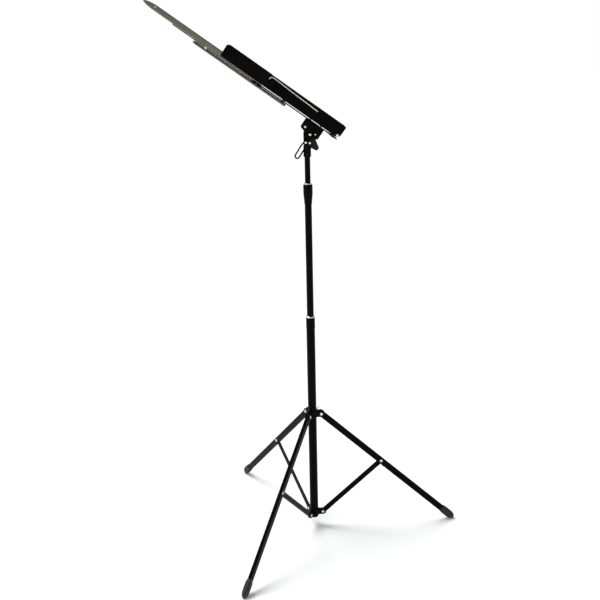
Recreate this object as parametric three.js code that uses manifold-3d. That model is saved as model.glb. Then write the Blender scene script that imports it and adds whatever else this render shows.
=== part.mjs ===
// Folding music stand: a tripod of channel legs on a sliding spider, a mast of
// three telescoping tubes, a tilting head, and a desk frame folded shut.
// Units are millimetres and +Z is up. The origin is on the floor at the centre
// of the stand's bounding box, and +X is the reader's side.
import * as THREE from 'three';
import { mergeVertices } from 'three/addons/utils/BufferGeometryUtils.js';
import Module from 'manifold-3d';

const wasm = await Module();
wasm.setup();

// ---- driving dimensions ---------------------------------------------------
const MAST_X = -5.81;
const MAST_Y = 7.445;
const PLAY = 0.25;

const FOOT_RADIUS = 318;
const FOOT_AXIS_HEIGHT = 7;
const LEG_AZIMUTHS = { right: 2.7, rear: 122.7, front: 242.7 };
const PIVOT_RADIUS = 20;
const UPPER_PIVOT_HEIGHT = 275.5;
const LOWER_PIVOT_HEIGHT = 33;
const LEG_WIDTH = 7.5;
const LEG_DEPTH = 13.6;
const LEG_WALL = 1.1;
const LEG_TOP_REACH = 9;
const BRACE_WIDTH = 2.4;
const BRACE_DEPTH = 11.2;
const HINGE_PIN_RADIUS = 2.2;
const HINGE_HEAD_RADIUS = 4;
const HEAD_THICKNESS = 1.4;
const FOOT_WIDTH = 12;
const FOOT_DEPTH = 17;
const FOOT_LENGTH = 30;
const FOOT_SHOULDER = 6;

const SPIDER_HEIGHT = 14;
const SPIDER_REACH = 27;
const SPIDER_SHEET = 1.3;
const SPIDER_BEND_RADIUS = 16;
const SPIDER_SLEEVE_WALL = 2;
const SPIDER_GAP = 0.4;
const THUMB_SCREW_RADIUS = 2;

const LOWER_TUBE = { radius: 9.4, wall: 0.9, bottom: 25, top: 500 };
const MID_TUBE = { radius: 7.4, wall: 0.7, bottom: 372, top: 770 };
const TOP_TUBE = { radius: 5.9, wall: 0.9, bottom: 486, top: 868 };
const SWAGE = { bottom: 474, radius: 9.8 };
const LOWER_RING_HEIGHT = 3;
const UPPER_SLEEVE = { bottom: 748, top: 789, radius: 9.9 };
const UPPER_RING_HEIGHT = 2.4;
const RING_RADIUS = { lower: 9.5, upper: 8.2 };
const BUSH_GAP = 0.2;
const LOWER_BUSH = { bottom: 455, top: 499 };
const UPPER_BUSH = { bottom: 740, top: 769 };
const GUIDE_LENGTH = 20;

const TILT_AXIS = { x: 6.5, z: 892 };
const TILT_BOLT_RADIUS = 2.3;
const FORK = { halfWidth: 7.8, sheet: 1.4, radius: 8, neck: 7.2, shoulder: 896 };
const COLLAR = { bottom: 846, top: 868, radius: 8 };
const PINCH_AXIS = { x: -2.8, z: 876 };
const PINCH_SCREW_RADIUS = 1.75;
const FORK_RIVET = { x: 5.2, z: 874.5, radius: 1.8 };
const KNOB = { y: 13.9, thickness: 5, hub: 6.5, lobe: 5.5 };
const LOOP = { halfWidth: 4.6, length: 37, wire: 1.4, y: -10.5, turn: 33, hub: 4.4, hubHalf: 1.8 };

const DESK_SLOPE = 35.7;
const DESK_AXIS = { v: 39, w: -23 };
const SPINE_SHEET = 2;
const SPINE_HALF_WIDTH = 7;
const SPINE_TOP = 386;
const EAR_HALF_WIDTH = 23.5;
const PIVOT_U = 15.5;
const LINK_SPACING = 185;
const LINK_REACH = 121;
const BRACKET = { bottom: 22, top: 64, halfWidth: 9.5, sheet: 1.3, gap: 0.3 };
const BRACKET_RIVETS = [30, 56];
const CROSS_RIVETS = { lower: { v: 30, w: -17 }, upper: { v: 56, w: -16 } };
const RIVET_RADIUS = { ledge: 2.5, bar: 2.2, small: 2 };

const LEDGE = { start: -13, end: 170, halfWidth: 8, sheet: 1.5, back: 3.3, front: 30.5, lip: 5 };
const LEAF = { start: 157, end: 274, sheet: 1.4, back: 3.5, front: 31 };
const LEAF_PIVOT = { v: 165, w: 17 };
const UPPER_ARM = { halfWidth: 6, wall: 1.2, back: 1.3, front: 11.3, end: 9, length: 270 };
const SIDE_BAR = { halfWidth: 5, wall: 1.2, front: -2.5, back: -6.5, low: 8, high: 28 };
const PAGE_WIRE_RADIUS = 1;

const ROUND = 16;
const TUBE_SIDES = 20;
const degrees = THREE.MathUtils.degToRad;

// ---- finishes -------------------------------------------------------------
const finishes = {
  black: { color: 0x0d0d0e, roughness: 0.32, metalness: 0.3 },
  nickel: { color: 0xb4b0a8, roughness: 0.28, metalness: 1 },
  strip: { color: 0x77736a, roughness: 0.38, metalness: 0.9 },
  rubber: { color: 0x1c1c1e, roughness: 0.85, metalness: 0 },
  plastic: { color: 0x111112, roughness: 0.5, metalness: 0 },
};

// ---- solids ---------------------------------------------------------------
function toSolid(geometry) {
  const bare = geometry.clone();
  bare.deleteAttribute('normal');
  bare.deleteAttribute('uv');
  const merged = mergeVertices(bare, 1e-4);
  const corners = [];
  const index = merged.index.array;
  for (let i = 0; i < index.length; i += 3) {
    const [a, b, c] = [index[i], index[i + 1], index[i + 2]];
    if (a !== b && b !== c && c !== a) corners.push(a, b, c);
  }
  return new wasm.Manifold(new wasm.Mesh({
    numProp: 3,
    vertProperties: new Float32Array(merged.attributes.position.array),
    triVerts: new Uint32Array(corners),
  }));
}

function toGeometry(solid) {
  const mesh = solid.getMesh();
  const geometry = new THREE.BufferGeometry();
  geometry.setAttribute('position', new THREE.BufferAttribute(mesh.vertProperties, 3));
  geometry.setIndex(new THREE.BufferAttribute(mesh.triVerts, 1));
  return geometry;
}

function join(...geometries) {
  return toGeometry(geometries.map(toSolid).reduce((whole, next) => whole.add(next)));
}

function cut(geometry, ...tools) {
  return toGeometry(tools.map(toSolid).reduce((left, tool) => left.subtract(tool), toSolid(geometry)));
}

function common(first, second) {
  return toGeometry(toSolid(first).intersect(toSolid(second)));
}

// A flat plate of the given outline, half its thickness each side of z = 0.
function plate(outline, thickness) {
  const options = { depth: thickness, bevelEnabled: false, curveSegments: 8 };
  return new THREE.ExtrudeGeometry(outline, options).translate(0, 0, -thickness / 2);
}

// The same plate standing in the XZ plane, half its thickness each side of y = 0.
function standingPlate(outline, thickness) {
  return plate(outline, thickness).rotateX(Math.PI / 2);
}

function box(low, high) {
  const size = high.map((value, i) => value - low[i]);
  const centre = high.map((value, i) => (value + low[i]) / 2);
  return new THREE.BoxGeometry(...size).translate(...centre);
}

function polygon(points) {
  return new THREE.Shape(points.map(([x, y]) => new THREE.Vector2(x, y)));
}

// A solid of revolution about Z from [radius, height] points, closed on itself
// or on the axis.
function turned(points, sides = ROUND) {
  const profile = points.map(([radius, height]) => new THREE.Vector2(radius, height));
  return new THREE.LatheGeometry(profile, sides).rotateX(Math.PI / 2);
}

function ring(inner, outer, bottom, top, sides = TUBE_SIDES) {
  const profile = [[inner, bottom], [outer, bottom], [outer, top], [inner, top], [inner, bottom]];
  return turned(profile, sides);
}

// A rivet or bolt along Z made of stacked steps, each [start, end, radius].
function pin(steps, sides = 10) {
  const profile = [[0, steps[0][0]]];
  for (const [start, end, radius] of steps) profile.push([radius, start], [radius, end]);
  profile.push([0, steps.at(-1)[1]]);
  return turned(profile, sides);
}

function rod(radius, low, high, sides = 10) {
  return pin([[low, high, radius]], sides);
}

function alongY(geometry) {
  return geometry.rotateX(-Math.PI / 2);
}

function part(name, geometry, finish) {
  const mesh = new THREE.Mesh(geometry, new THREE.MeshStandardMaterial(finishes[finish]));
  mesh.name = name;
  return mesh;
}

function groupAt(x, y, z, ...children) {
  const group = new THREE.Group();
  group.position.set(x, y, z);
  group.add(...children);
  return group;
}

// ---- tripod ---------------------------------------------------------------
const legDrop = UPPER_PIVOT_HEIGHT - FOOT_AXIS_HEIGHT;
const legSpread = FOOT_RADIUS - PIVOT_RADIUS;
const legAngle = Math.atan2(legSpread, legDrop);
const legLength = Math.hypot(legSpread, legDrop);
const linkLength = (UPPER_PIVOT_HEIGHT - LOWER_PIVOT_HEIGHT) / (2 * Math.cos(legAngle));

function roundedBar(start, end, halfDepth) {
  const outline = new THREE.Shape();
  outline.absarc(end, 0, halfDepth, -Math.PI / 2, Math.PI / 2, false);
  outline.absarc(start, 0, halfDepth, Math.PI / 2, 3 * Math.PI / 2, false);
  return outline;
}

function crossHole(x, radius) {
  return alongY(rod(radius, -20, 20)).translate(x, 0, 0);
}

// A leg lies along +X from its top pivot, with the open side of its channel
// facing -Z, which is inwards on the open tripod.
function legChannel() {
  const half = LEG_DEPTH / 2;
  const end = legLength - FOOT_AXIS_HEIGHT;
  const outline = new THREE.Shape();
  outline.moveTo(end, -half);
  outline.lineTo(end, half);
  outline.lineTo(half - LEG_TOP_REACH, half);
  outline.absarc(half - LEG_TOP_REACH, 0, half, Math.PI / 2, 3 * Math.PI / 2, false);
  const inner = LEG_WIDTH / 2 - LEG_WALL;
  return cut(
    standingPlate(outline, LEG_WIDTH),
    box([-20, -inner, -20], [end + 1, inner, half - LEG_WALL]),
    crossHole(0, HINGE_PIN_RADIUS + PLAY),
    crossHole(linkLength, HINGE_PIN_RADIUS + PLAY),
  );
}

function legPlacement() {
  const turn = new THREE.Matrix4().makeRotationY(Math.PI / 2 - legAngle);
  return turn.premultiply(new THREE.Matrix4().makeTranslation(PIVOT_RADIUS, 0, UPPER_PIVOT_HEIGHT));
}

// A rubber cap with a pocket for the leg's end, cut flat where it stands.
function rubberFoot() {
  const half = FOOT_DEPTH / 2;
  const outline = new THREE.Shape();
  const rim = LEG_DEPTH / 2 + 1;
  outline.moveTo(legLength - FOOT_LENGTH, -rim);
  outline.lineTo(legLength - FOOT_LENGTH + FOOT_SHOULDER, -half);
  outline.absarc(legLength, 0, half, -Math.PI / 2, Math.PI / 2, false);
  outline.lineTo(legLength - FOOT_LENGTH + FOOT_SHOULDER, half);
  outline.lineTo(legLength - FOOT_LENGTH, rim);
  const pocketWidth = LEG_WIDTH / 2 + PLAY;
  const pocketDepth = LEG_DEPTH / 2 + PLAY;
  const pocketEnd = legLength - FOOT_AXIS_HEIGHT + PLAY;
  const belowFloor = box([0, -50, -100], [600, 50, 0]).applyMatrix4(legPlacement().invert());
  return cut(
    standingPlate(outline, FOOT_WIDTH),
    box([legLength - 2 * FOOT_LENGTH, -pocketWidth, -pocketDepth], [pocketEnd, pocketWidth, pocketDepth]),
    belowFloor,
  );
}

function braceBar() {
  return cut(
    standingPlate(roundedBar(0, linkLength, BRACE_DEPTH / 2), BRACE_WIDTH),
    crossHole(0, HINGE_PIN_RADIUS + PLAY),
    crossHole(linkLength, HINGE_PIN_RADIUS + PLAY),
  );
}

function hingeRivet(halfGrip) {
  const reach = halfGrip + PLAY;
  return alongY(pin([
    [-reach - HEAD_THICKNESS, -reach, HINGE_HEAD_RADIUS],
    [-reach, reach, HINGE_PIN_RADIUS],
    [reach, reach + HEAD_THICKNESS, HINGE_HEAD_RADIUS],
  ]));
}

// One of the three curved sheets of a spider. It runs from the ear beside one
// leg, in an arc past the tube, to the ear beside the next leg, 120 degrees on.
function spiderSheet(cheekOffset) {
  const half = SPIDER_SHEET / 2;
  const rise = cheekOffset + SPIDER_BEND_RADIUS;
  const centre = new THREE.Vector2(rise * Math.tan(degrees(30)), rise);
  const along = new THREE.Vector2(Math.cos(degrees(120)), Math.sin(degrees(120)));
  const facing = new THREE.Vector2(Math.cos(degrees(30)), Math.sin(degrees(30)));
  const farEar = (offset) => along.clone().multiplyScalar(SPIDER_REACH).addScaledVector(facing, offset);
  const inner = SPIDER_BEND_RADIUS - half;
  const outer = SPIDER_BEND_RADIUS + half;
  const outline = new THREE.Shape();
  outline.moveTo(SPIDER_REACH, cheekOffset - half);
  outline.lineTo(SPIDER_REACH, cheekOffset + half);
  outline.absarc(centre.x, centre.y, inner, degrees(270), degrees(210), true);
  outline.lineTo(farEar(cheekOffset + half).x, farEar(cheekOffset + half).y);
  outline.lineTo(farEar(cheekOffset - half).x, farEar(cheekOffset - half).y);
  outline.absarc(centre.x, centre.y, outer, degrees(210), degrees(270), false);
  return plate(outline, SPIDER_HEIGHT);
}

function spider(halfGap, bore) {
  const cheekOffset = halfGap + SPIDER_SHEET / 2;
  const half = SPIDER_HEIGHT / 2;
  const sheets = [0, 120, 240].map((azimuth) => spiderSheet(cheekOffset).rotateZ(degrees(azimuth)));
  const sleeve = ring(bore - 1, bore + SPIDER_SLEEVE_WALL, -half, half);
  const roundedEars = turned([
    [0, -half], [SPIDER_REACH - 5, -half], [SPIDER_REACH - 1.5, -half / 2], [SPIDER_REACH, 0],
    [SPIDER_REACH - 1.5, half / 2], [SPIDER_REACH - 5, half], [0, half],
  ], TUBE_SIDES);
  return cut(common(join(sleeve, ...sheets), roundedEars), rod(bore, -20, 20, TUBE_SIDES));
}

// The upper spider also carries the heads of the rivets that the legs hang on,
// and a tapped hole for its thumb screw.
function upperSpider() {
  const halfGap = LEG_WIDTH / 2 + SPIDER_GAP;
  const face = halfGap + SPIDER_SHEET - 0.1;
  const heads = [];
  for (const azimuth of [0, 120, 240]) {
    for (const side of [-1, 1]) {
      const head = alongY(rod(HINGE_HEAD_RADIUS, face, face + HEAD_THICKNESS));
      if (side < 0) head.rotateZ(Math.PI);
      head.translate(PIVOT_RADIUS, 0, 0).rotateZ(degrees(azimuth));
      heads.push(head);
    }
  }
  const screwHole = rod(THUMB_SCREW_RADIUS + PLAY, 0, 20).rotateY(Math.PI / 2).rotateZ(degrees(60));
  return cut(join(spider(halfGap, LOWER_TUBE.radius + PLAY), ...heads), screwHole);
}

// A wing screw along +X, its tip facing the tube.
function thumbScrew() {
  const wing = new THREE.Shape();
  wing.moveTo(22, -3);
  wing.lineTo(27, -7.5);
  wing.absarc(31, -5, 3.5, degrees(-120), degrees(40), false);
  wing.absarc(31, 5, 3.5, degrees(-40), degrees(120), false);
  wing.lineTo(22, 3);
  const shank = rod(THUMB_SCREW_RADIUS, LOWER_TUBE.radius + 0.8, 23).rotateY(Math.PI / 2);
  const hub = rod(3.4, 18, 24).rotateY(Math.PI / 2);
  return join(shank, hub, standingPlate(wing, 2.4));
}

function tripod() {
  const group = new THREE.Group();
  for (const [place, azimuth] of Object.entries(LEG_AZIMUTHS)) {
    const sector = new THREE.Group();
    sector.rotation.z = degrees(azimuth);
    const leg = groupAt(
      PIVOT_RADIUS, 0, UPPER_PIVOT_HEIGHT,
      part(`leg_${place}`, legChannel(), 'black'),
      part(`foot_${place}`, rubberFoot(), 'rubber'),
      part(`leg_rivet_${place}`, hingeRivet(LEG_WIDTH / 2).translate(linkLength, 0, 0), 'nickel'),
    );
    leg.rotation.y = Math.PI / 2 - legAngle;
    const brace = groupAt(
      PIVOT_RADIUS, 0, LOWER_PIVOT_HEIGHT,
      part(`brace_${place}`, braceBar(), 'black'),
      part(`brace_rivet_${place}`, hingeRivet(BRACE_WIDTH / 2 + SPIDER_GAP + SPIDER_SHEET), 'nickel'),
    );
    brace.rotation.y = legAngle - Math.PI / 2;
    sector.add(leg, brace);
    group.add(sector);
  }
  const spiderTurn = degrees(LEG_AZIMUTHS.right);
  const upper = groupAt(0, 0, UPPER_PIVOT_HEIGHT, part('upper_spider', upperSpider(), 'black'));
  upper.rotation.z = spiderTurn;
  const screw = groupAt(0, 0, UPPER_PIVOT_HEIGHT, part('spider_thumb_screw', thumbScrew(), 'nickel'));
  screw.rotation.z = spiderTurn + degrees(60);
  const lowerGeometry = lowerSpider();
  const lower = groupAt(0, 0, LOWER_PIVOT_HEIGHT, part('lower_spider', lowerGeometry, 'black'));
  lower.rotation.z = spiderTurn;
  group.add(upper, screw, lower);
  return group;
}

function lowerSpider() {
  const halfGap = BRACE_WIDTH / 2 + SPIDER_GAP;
  const holes = [0, 120, 240].map((azimuth) => (
    crossHole(PIVOT_RADIUS, HINGE_PIN_RADIUS + PLAY).rotateZ(degrees(azimuth))
  ));
  return cut(spider(halfGap, LOWER_TUBE.radius + PLAY), ...holes);
}

// ---- mast -----------------------------------------------------------------
function lowerTube() {
  const { radius, wall, bottom, top } = LOWER_TUBE;
  const inner = radius - wall;
  return turned([
    [inner, bottom], [radius, bottom], [radius, SWAGE.bottom], [SWAGE.radius, SWAGE.bottom + 3],
    [SWAGE.radius, top - 2], [radius, top], [inner, top], [inner, bottom],
  ], TUBE_SIDES);
}

function endPlug() {
  const { radius, wall, bottom } = LOWER_TUBE;
  return turned([
    [0, bottom - 4], [radius - 1.5, bottom - 4], [radius, bottom - 2.5], [radius, bottom - PLAY],
    [radius - wall - PLAY, bottom - PLAY], [radius - wall - PLAY, bottom + 10], [0, bottom + 10],
  ], TUBE_SIDES);
}

function upperSleeve() {
  const { bottom, top, radius } = UPPER_SLEEVE;
  const overTube = MID_TUBE.radius + PLAY;
  const throat = TOP_TUBE.radius + PLAY;
  const step = MID_TUBE.top + PLAY;
  return turned([
    [overTube, bottom], [overTube + 0.5, bottom], [radius - 0.4, bottom + 20], [radius, bottom + 25],
    [radius, top - 5], [radius - 0.8, top], [throat, top], [throat, step], [overTube, step],
    [overTube, bottom],
  ], TUBE_SIDES);
}

function mast() {
  const plainTube = ({ radius, wall, bottom, top }) => ring(radius - wall, radius, bottom, top);
  const lowerInner = LOWER_TUBE.radius - LOWER_TUBE.wall;
  const midInner = MID_TUBE.radius - MID_TUBE.wall;
  const between = (tube, outer, bottom, top) => (
    ring(tube.radius + BUSH_GAP, outer - BUSH_GAP, bottom, top)
  );
  const around = (tube, outer, bottom, height) => ring(tube.radius + PLAY, outer, bottom, bottom + height);
  const lowerBush = between(MID_TUBE, lowerInner, LOWER_BUSH.bottom, LOWER_BUSH.top);
  const midGuide = between(MID_TUBE, lowerInner, MID_TUBE.bottom, MID_TUBE.bottom + GUIDE_LENGTH);
  const upperBush = between(TOP_TUBE, midInner, UPPER_BUSH.bottom, UPPER_BUSH.top);
  const lowerRing = around(MID_TUBE, RING_RADIUS.lower, LOWER_TUBE.top + PLAY, LOWER_RING_HEIGHT);
  const upperRing = around(TOP_TUBE, RING_RADIUS.upper, UPPER_SLEEVE.top + PLAY, UPPER_RING_HEIGHT);
  const group = new THREE.Group();
  group.add(
    part('lower_tube', lowerTube(), 'black'),
    part('tube_end_plug', endPlug(), 'plastic'),
    part('lower_clutch_bush', lowerBush, 'plastic'),
    part('lower_clutch_ring', lowerRing, 'nickel'),
    part('mid_tube', plainTube(MID_TUBE), 'black'),
    part('mid_tube_guide', midGuide, 'plastic'),
    part('upper_clutch_sleeve', upperSleeve(), 'black'),
    part('upper_clutch_bush', upperBush, 'plastic'),
    part('upper_clutch_ring', upperRing, 'nickel'),
    part('top_tube', plainTube(TOP_TUBE), 'black'),
  );
  return group;
}

// ---- head -----------------------------------------------------------------
// A pin through the head, along Y at the given point.
function headHole(radius, at) {
  return alongY(rod(radius + PLAY, -20, 20)).translate(at.x, 0, at.z);
}

// A split collar round the top tube, under two upright cheeks that hold the
// tilt bolt. The pinch screw crosses the cheeks just above the tube's end.
function headFork() {
  const { halfWidth, sheet, radius, neck, shoulder } = FORK;
  const cheek = new THREE.Shape();
  cheek.moveTo(-neck, COLLAR.bottom + 3);
  cheek.lineTo(neck, COLLAR.bottom + 3);
  cheek.lineTo(neck, TILT_AXIS.z - radius + 0.5);
  cheek.absarc(TILT_AXIS.x, TILT_AXIS.z, radius, degrees(-78), degrees(90), false);
  cheek.lineTo(3 - neck, TILT_AXIS.z + radius);
  cheek.lineTo(-neck, shoulder);
  const cheekY = halfWidth - sheet / 2;
  const left = standingPlate(cheek, sheet).translate(0, -cheekY, 0);
  const right = standingPlate(cheek, sheet).translate(0, cheekY, 0);
  const collar = ring(TOP_TUBE.radius + PLAY, COLLAR.radius, COLLAR.bottom, COLLAR.top);
  const slit = box([-COLLAR.radius - 1, -1.2, COLLAR.bottom - 1], [-3, 1.2, COLLAR.top + 1]);
  return cut(
    join(left, right, collar),
    slit,
    headHole(PINCH_SCREW_RADIUS, PINCH_AXIS),
    headHole(TILT_BOLT_RADIUS, TILT_AXIS),
    headHole(FORK_RIVET.radius, FORK_RIVET),
  );
}

function forkRivet() {
  const reach = FORK.halfWidth + PLAY;
  const headRadius = FORK_RIVET.radius + 0.8;
  return alongY(pin([
    [-reach - 0.8, -reach, headRadius],
    [-reach, reach, FORK_RIVET.radius],
    [reach, reach + 0.8, headRadius],
  ])).translate(FORK_RIVET.x, 0, FORK_RIVET.z);
}

function tiltBolt() {
  const face = BRACKET.halfWidth + PLAY;
  const end = KNOB.y + KNOB.thickness / 2 + 1.9;
  return alongY(pin([
    [-face - 3.9, -face - 2.5, 3.6], [-face - 2.5, -face, 5], [-face, end, TILT_BOLT_RADIUS],
  ])).translate(TILT_AXIS.x, 0, TILT_AXIS.z);
}

// A flat paddle on the far end of the tilt bolt.
function tiltKnob() {
  const paddle = new THREE.Shape();
  paddle.absarc(0, 0, KNOB.hub, degrees(40), degrees(200), false);
  paddle.absarc(3.5, -24.5, KNOB.lobe, degrees(190), degrees(240), false);
  paddle.absarc(12.5, -29.5, KNOB.lobe, degrees(240), degrees(400), false);
  const bore = alongY(rod(TILT_BOLT_RADIUS + PLAY, -20, 20));
  return cut(standingPlate(paddle, KNOB.thickness), bore).translate(TILT_AXIS.x, KNOB.y, TILT_AXIS.z);
}

function wirePath(points) {
  return new THREE.CatmullRomCurve3(points.map((p) => new THREE.Vector3(...p)), false, 'centripetal');
}

function wire(curve, radius, steps) {
  const section = new THREE.Shape();
  section.absarc(0, 0, radius, 0, 2 * Math.PI, false);
  const options = { extrudePath: curve, steps, curveSegments: 3, bevelEnabled: false };
  return new THREE.ExtrudeGeometry(section, options);
}

// A wire loop on a small hub that turns the pinch screw.
function loopLever() {
  const { halfWidth, length, wire: radius, hub, hubHalf } = LOOP;
  const points = [[-halfWidth + 1.4, 0, -1], [-halfWidth, 0, -9], [-halfWidth, 0, -length + 8]];
  for (let turn = 180; turn <= 360; turn += 30) {
    const x = halfWidth * Math.cos(degrees(turn));
    points.push([x, 0, -length + halfWidth + halfWidth * Math.sin(degrees(turn))]);
  }
  points.push([halfWidth, 0, -length + 8], [halfWidth, 0, -9], [halfWidth - 1.4, 0, -1]);
  const boss = alongY(rod(hub, -hubHalf, hubHalf));
  const bore = alongY(rod(PINCH_SCREW_RADIUS + PLAY, -20, 20));
  const lever = cut(join(wire(wirePath(points), radius, 24), boss), bore);
  return lever.rotateY(degrees(LOOP.turn)).translate(PINCH_AXIS.x, LOOP.y, PINCH_AXIS.z);
}

function pinchScrew() {
  const outer = LOOP.y - LOOP.hubHalf - PLAY;
  const inner = FORK.halfWidth + PLAY;
  return alongY(pin([
    [outer - 1.2, outer, 3.2], [outer, inner, PINCH_SCREW_RADIUS], [inner, inner + 2.2, 3.2],
  ])).translate(PINCH_AXIS.x, 0, PINCH_AXIS.z);
}

function head() {
  const group = new THREE.Group();
  group.add(
    part('head_fork', headFork(), 'black'),
    part('fork_rivet', forkRivet(), 'nickel'),
    part('tilt_bolt', tiltBolt(), 'nickel'),
    part('tilt_knob', tiltKnob(), 'plastic'),
    part('loop_lever', loopLever(), 'black'),
    part('pinch_screw', pinchScrew(), 'nickel'),
  );
  return group;
}

// ---- desk -----------------------------------------------------------------
// The desk is drawn in its own plane: u across it, v up its slope from the
// ledge pivots, and w out of its face towards the reader.
const spineFace = SPINE_SHEET / 2;

// Turns a plate drawn as (v, w) to stand along the slope, its thickness along u.
function standAlong(geometry) {
  const basis = new THREE.Matrix4().makeBasis(
    new THREE.Vector3(0, 1, 0), new THREE.Vector3(0, 0, 1), new THREE.Vector3(1, 0, 0),
  );
  return geometry.applyMatrix4(basis);
}

function holeAlongW(radius, u, v) {
  return rod(radius + PLAY, -9, 20).translate(u, v, 0);
}

function holeAcross(radius, v, w) {
  return rod(radius + PLAY, -40, 40).rotateY(Math.PI / 2).translate(0, v, w);
}

function spine() {
  const outline = new THREE.Shape();
  outline.moveTo(-EAR_HALF_WIDTH, -6);
  outline.lineTo(-EAR_HALF_WIDTH + 6, -11);
  outline.lineTo(EAR_HALF_WIDTH - 6, -11);
  outline.lineTo(EAR_HALF_WIDTH, -6);
  outline.lineTo(EAR_HALF_WIDTH, 7);
  outline.lineTo(SPINE_HALF_WIDTH, 13);
  outline.lineTo(SPINE_HALF_WIDTH, LINK_SPACING - 13);
  outline.lineTo(EAR_HALF_WIDTH, LINK_SPACING - 6);
  outline.lineTo(EAR_HALF_WIDTH, LINK_SPACING + 6);
  outline.lineTo(SPINE_HALF_WIDTH, LINK_SPACING + 13);
  outline.absarc(0, SPINE_TOP - SPINE_HALF_WIDTH, SPINE_HALF_WIDTH, 0, Math.PI, false);
  outline.lineTo(-SPINE_HALF_WIDTH, LINK_SPACING + 13);
  outline.lineTo(-EAR_HALF_WIDTH, LINK_SPACING + 6);
  outline.lineTo(-EAR_HALF_WIDTH, LINK_SPACING - 6);
  outline.lineTo(-SPINE_HALF_WIDTH, LINK_SPACING - 13);
  outline.lineTo(-SPINE_HALF_WIDTH, 13);
  outline.lineTo(-EAR_HALF_WIDTH, 7);
  const holes = [];
  for (const u of [-PIVOT_U, PIVOT_U]) {
    holes.push(holeAlongW(RIVET_RADIUS.ledge, u, 0), holeAlongW(RIVET_RADIUS.bar, u, LINK_SPACING));
  }
  for (const v of BRACKET_RIVETS) holes.push(holeAlongW(RIVET_RADIUS.small, 0, v));
  return cut(plate(outline, SPINE_SHEET), ...holes);
}

// A folded channel under the spine whose cheeks hang on the tilt bolt.
function deskBracket() {
  const { bottom, top, halfWidth, sheet } = BRACKET;
  const face = -spineFace - BRACKET.gap;
  const cheek = new THREE.Shape();
  cheek.moveTo(bottom, face);
  cheek.lineTo(bottom - 2, -22.6);
  cheek.lineTo(bottom + 4, -27);
  cheek.absarc(DESK_AXIS.v, DESK_AXIS.w, 9, degrees(225), degrees(330), false);
  cheek.lineTo(top - 9, -24);
  cheek.lineTo(top, -21.6);
  cheek.lineTo(top, face);
  const cheekU = halfWidth - sheet / 2;
  const left = standAlong(plate(cheek, sheet)).translate(-cheekU, 0, 0);
  const right = standAlong(plate(cheek, sheet)).translate(cheekU, 0, 0);
  const web = box([-halfWidth + 0.1, bottom, face - sheet], [halfWidth - 0.1, top, face]);
  return cut(
    join(left, right, web),
    holeAcross(TILT_BOLT_RADIUS, DESK_AXIS.v, DESK_AXIS.w),
    ...Object.values(CROSS_RIVETS).map(({ v, w }) => holeAcross(RIVET_RADIUS.small, v, w)),
    ...BRACKET_RIVETS.map((v) => holeAlongW(RIVET_RADIUS.small, 0, v)),
  );
}

// Everything on one side of the desk is drawn for the right-hand side, where u
// is positive, and mirrored for the left.
function mirrored(geometry, side) {
  if (side > 0) return geometry;
  const flipped = geometry.clone().scale(-1, 1, 1);
  const index = flipped.index.array;
  for (let i = 0; i < index.length; i += 3) [index[i], index[i + 1]] = [index[i + 1], index[i]];
  return flipped;
}

// The ledge arm is one bent sheet: a back strip against the desk, the ledge
// that stands out towards the reader, and a lip along the ledge's edge.
function ledgeArm() {
  const { start, end, halfWidth, sheet, back, front, lip } = LEDGE;
  const inner = PIVOT_U - halfWidth;
  const outer = PIVOT_U + halfWidth;
  const bend = 1;
  const section = polygon([
    [inner, back], [outer - bend, back], [outer, back + bend], [outer, front - bend],
    [outer - bend, front], [outer - lip, front], [outer - lip, front - sheet],
    [outer - sheet, front - sheet], [outer - sheet, back + sheet], [inner, back + sheet],
  ]);
  const length = end - start;
  const bar = plate(section, length).rotateX(Math.PI / 2);
  bar.translate(0, start + length / 2, 0);
  const corner = polygon([[inner - 1, start - 1], [inner + 4, start - 1], [inner - 1, start + 4]]);
  const endRound = polygon([[inner - 1, end + 1], [inner + 5, end + 1], [inner - 1, end - 5]]);
  return cut(
    bar,
    plate(corner, 80),
    plate(endRound, 20),
    holeAlongW(RIVET_RADIUS.ledge, PIVOT_U, 0),
    holeAlongW(RIVET_RADIUS.bar, PIVOT_U, LINK_REACH),
    holeAcross(RIVET_RADIUS.small, LEAF_PIVOT.v, LEAF_PIVOT.w),
  );
}

const leafInner = PIVOT_U + LEDGE.halfWidth + 0.3;

// The leaf lengthens the ledge. It lies flat on the ledge's underside.
function ledgeLeaf() {
  const { start, end, sheet, back, front } = LEAF;
  const outline = new THREE.Shape();
  outline.moveTo(start + 7, back);
  outline.lineTo(end - 4, back);
  outline.lineTo(end, back + 4);
  outline.lineTo(end, front - 3);
  outline.lineTo(end - 3, front);
  outline.lineTo(start + 10, front);
  outline.lineTo(start + 2, front - 6);
  outline.lineTo(start, front - 12);
  outline.lineTo(start, back + 7);
  const leaf = standAlong(plate(outline, sheet)).translate(leafInner + sheet / 2, 0, 0);
  return cut(leaf, holeAcross(RIVET_RADIUS.small, LEAF_PIVOT.v, LEAF_PIVOT.w));
}

const wireU = leafInner + LEAF.sheet + 0.35 + PAGE_WIRE_RADIUS;

function leafRivet() {
  const shelfInner = PIVOT_U + LEDGE.halfWidth - LEDGE.sheet;
  const outer = wireU + PAGE_WIRE_RADIUS + PLAY;
  return pin([
    [shelfInner - PLAY - 1.2, shelfInner - PLAY, 3.6],
    [shelfInner - PLAY, outer, RIVET_RADIUS.small],
    [outer, outer + 1.2, 3.6],
  ]).rotateY(Math.PI / 2).translate(0, LEAF_PIVOT.v, LEAF_PIVOT.w);
}

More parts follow.
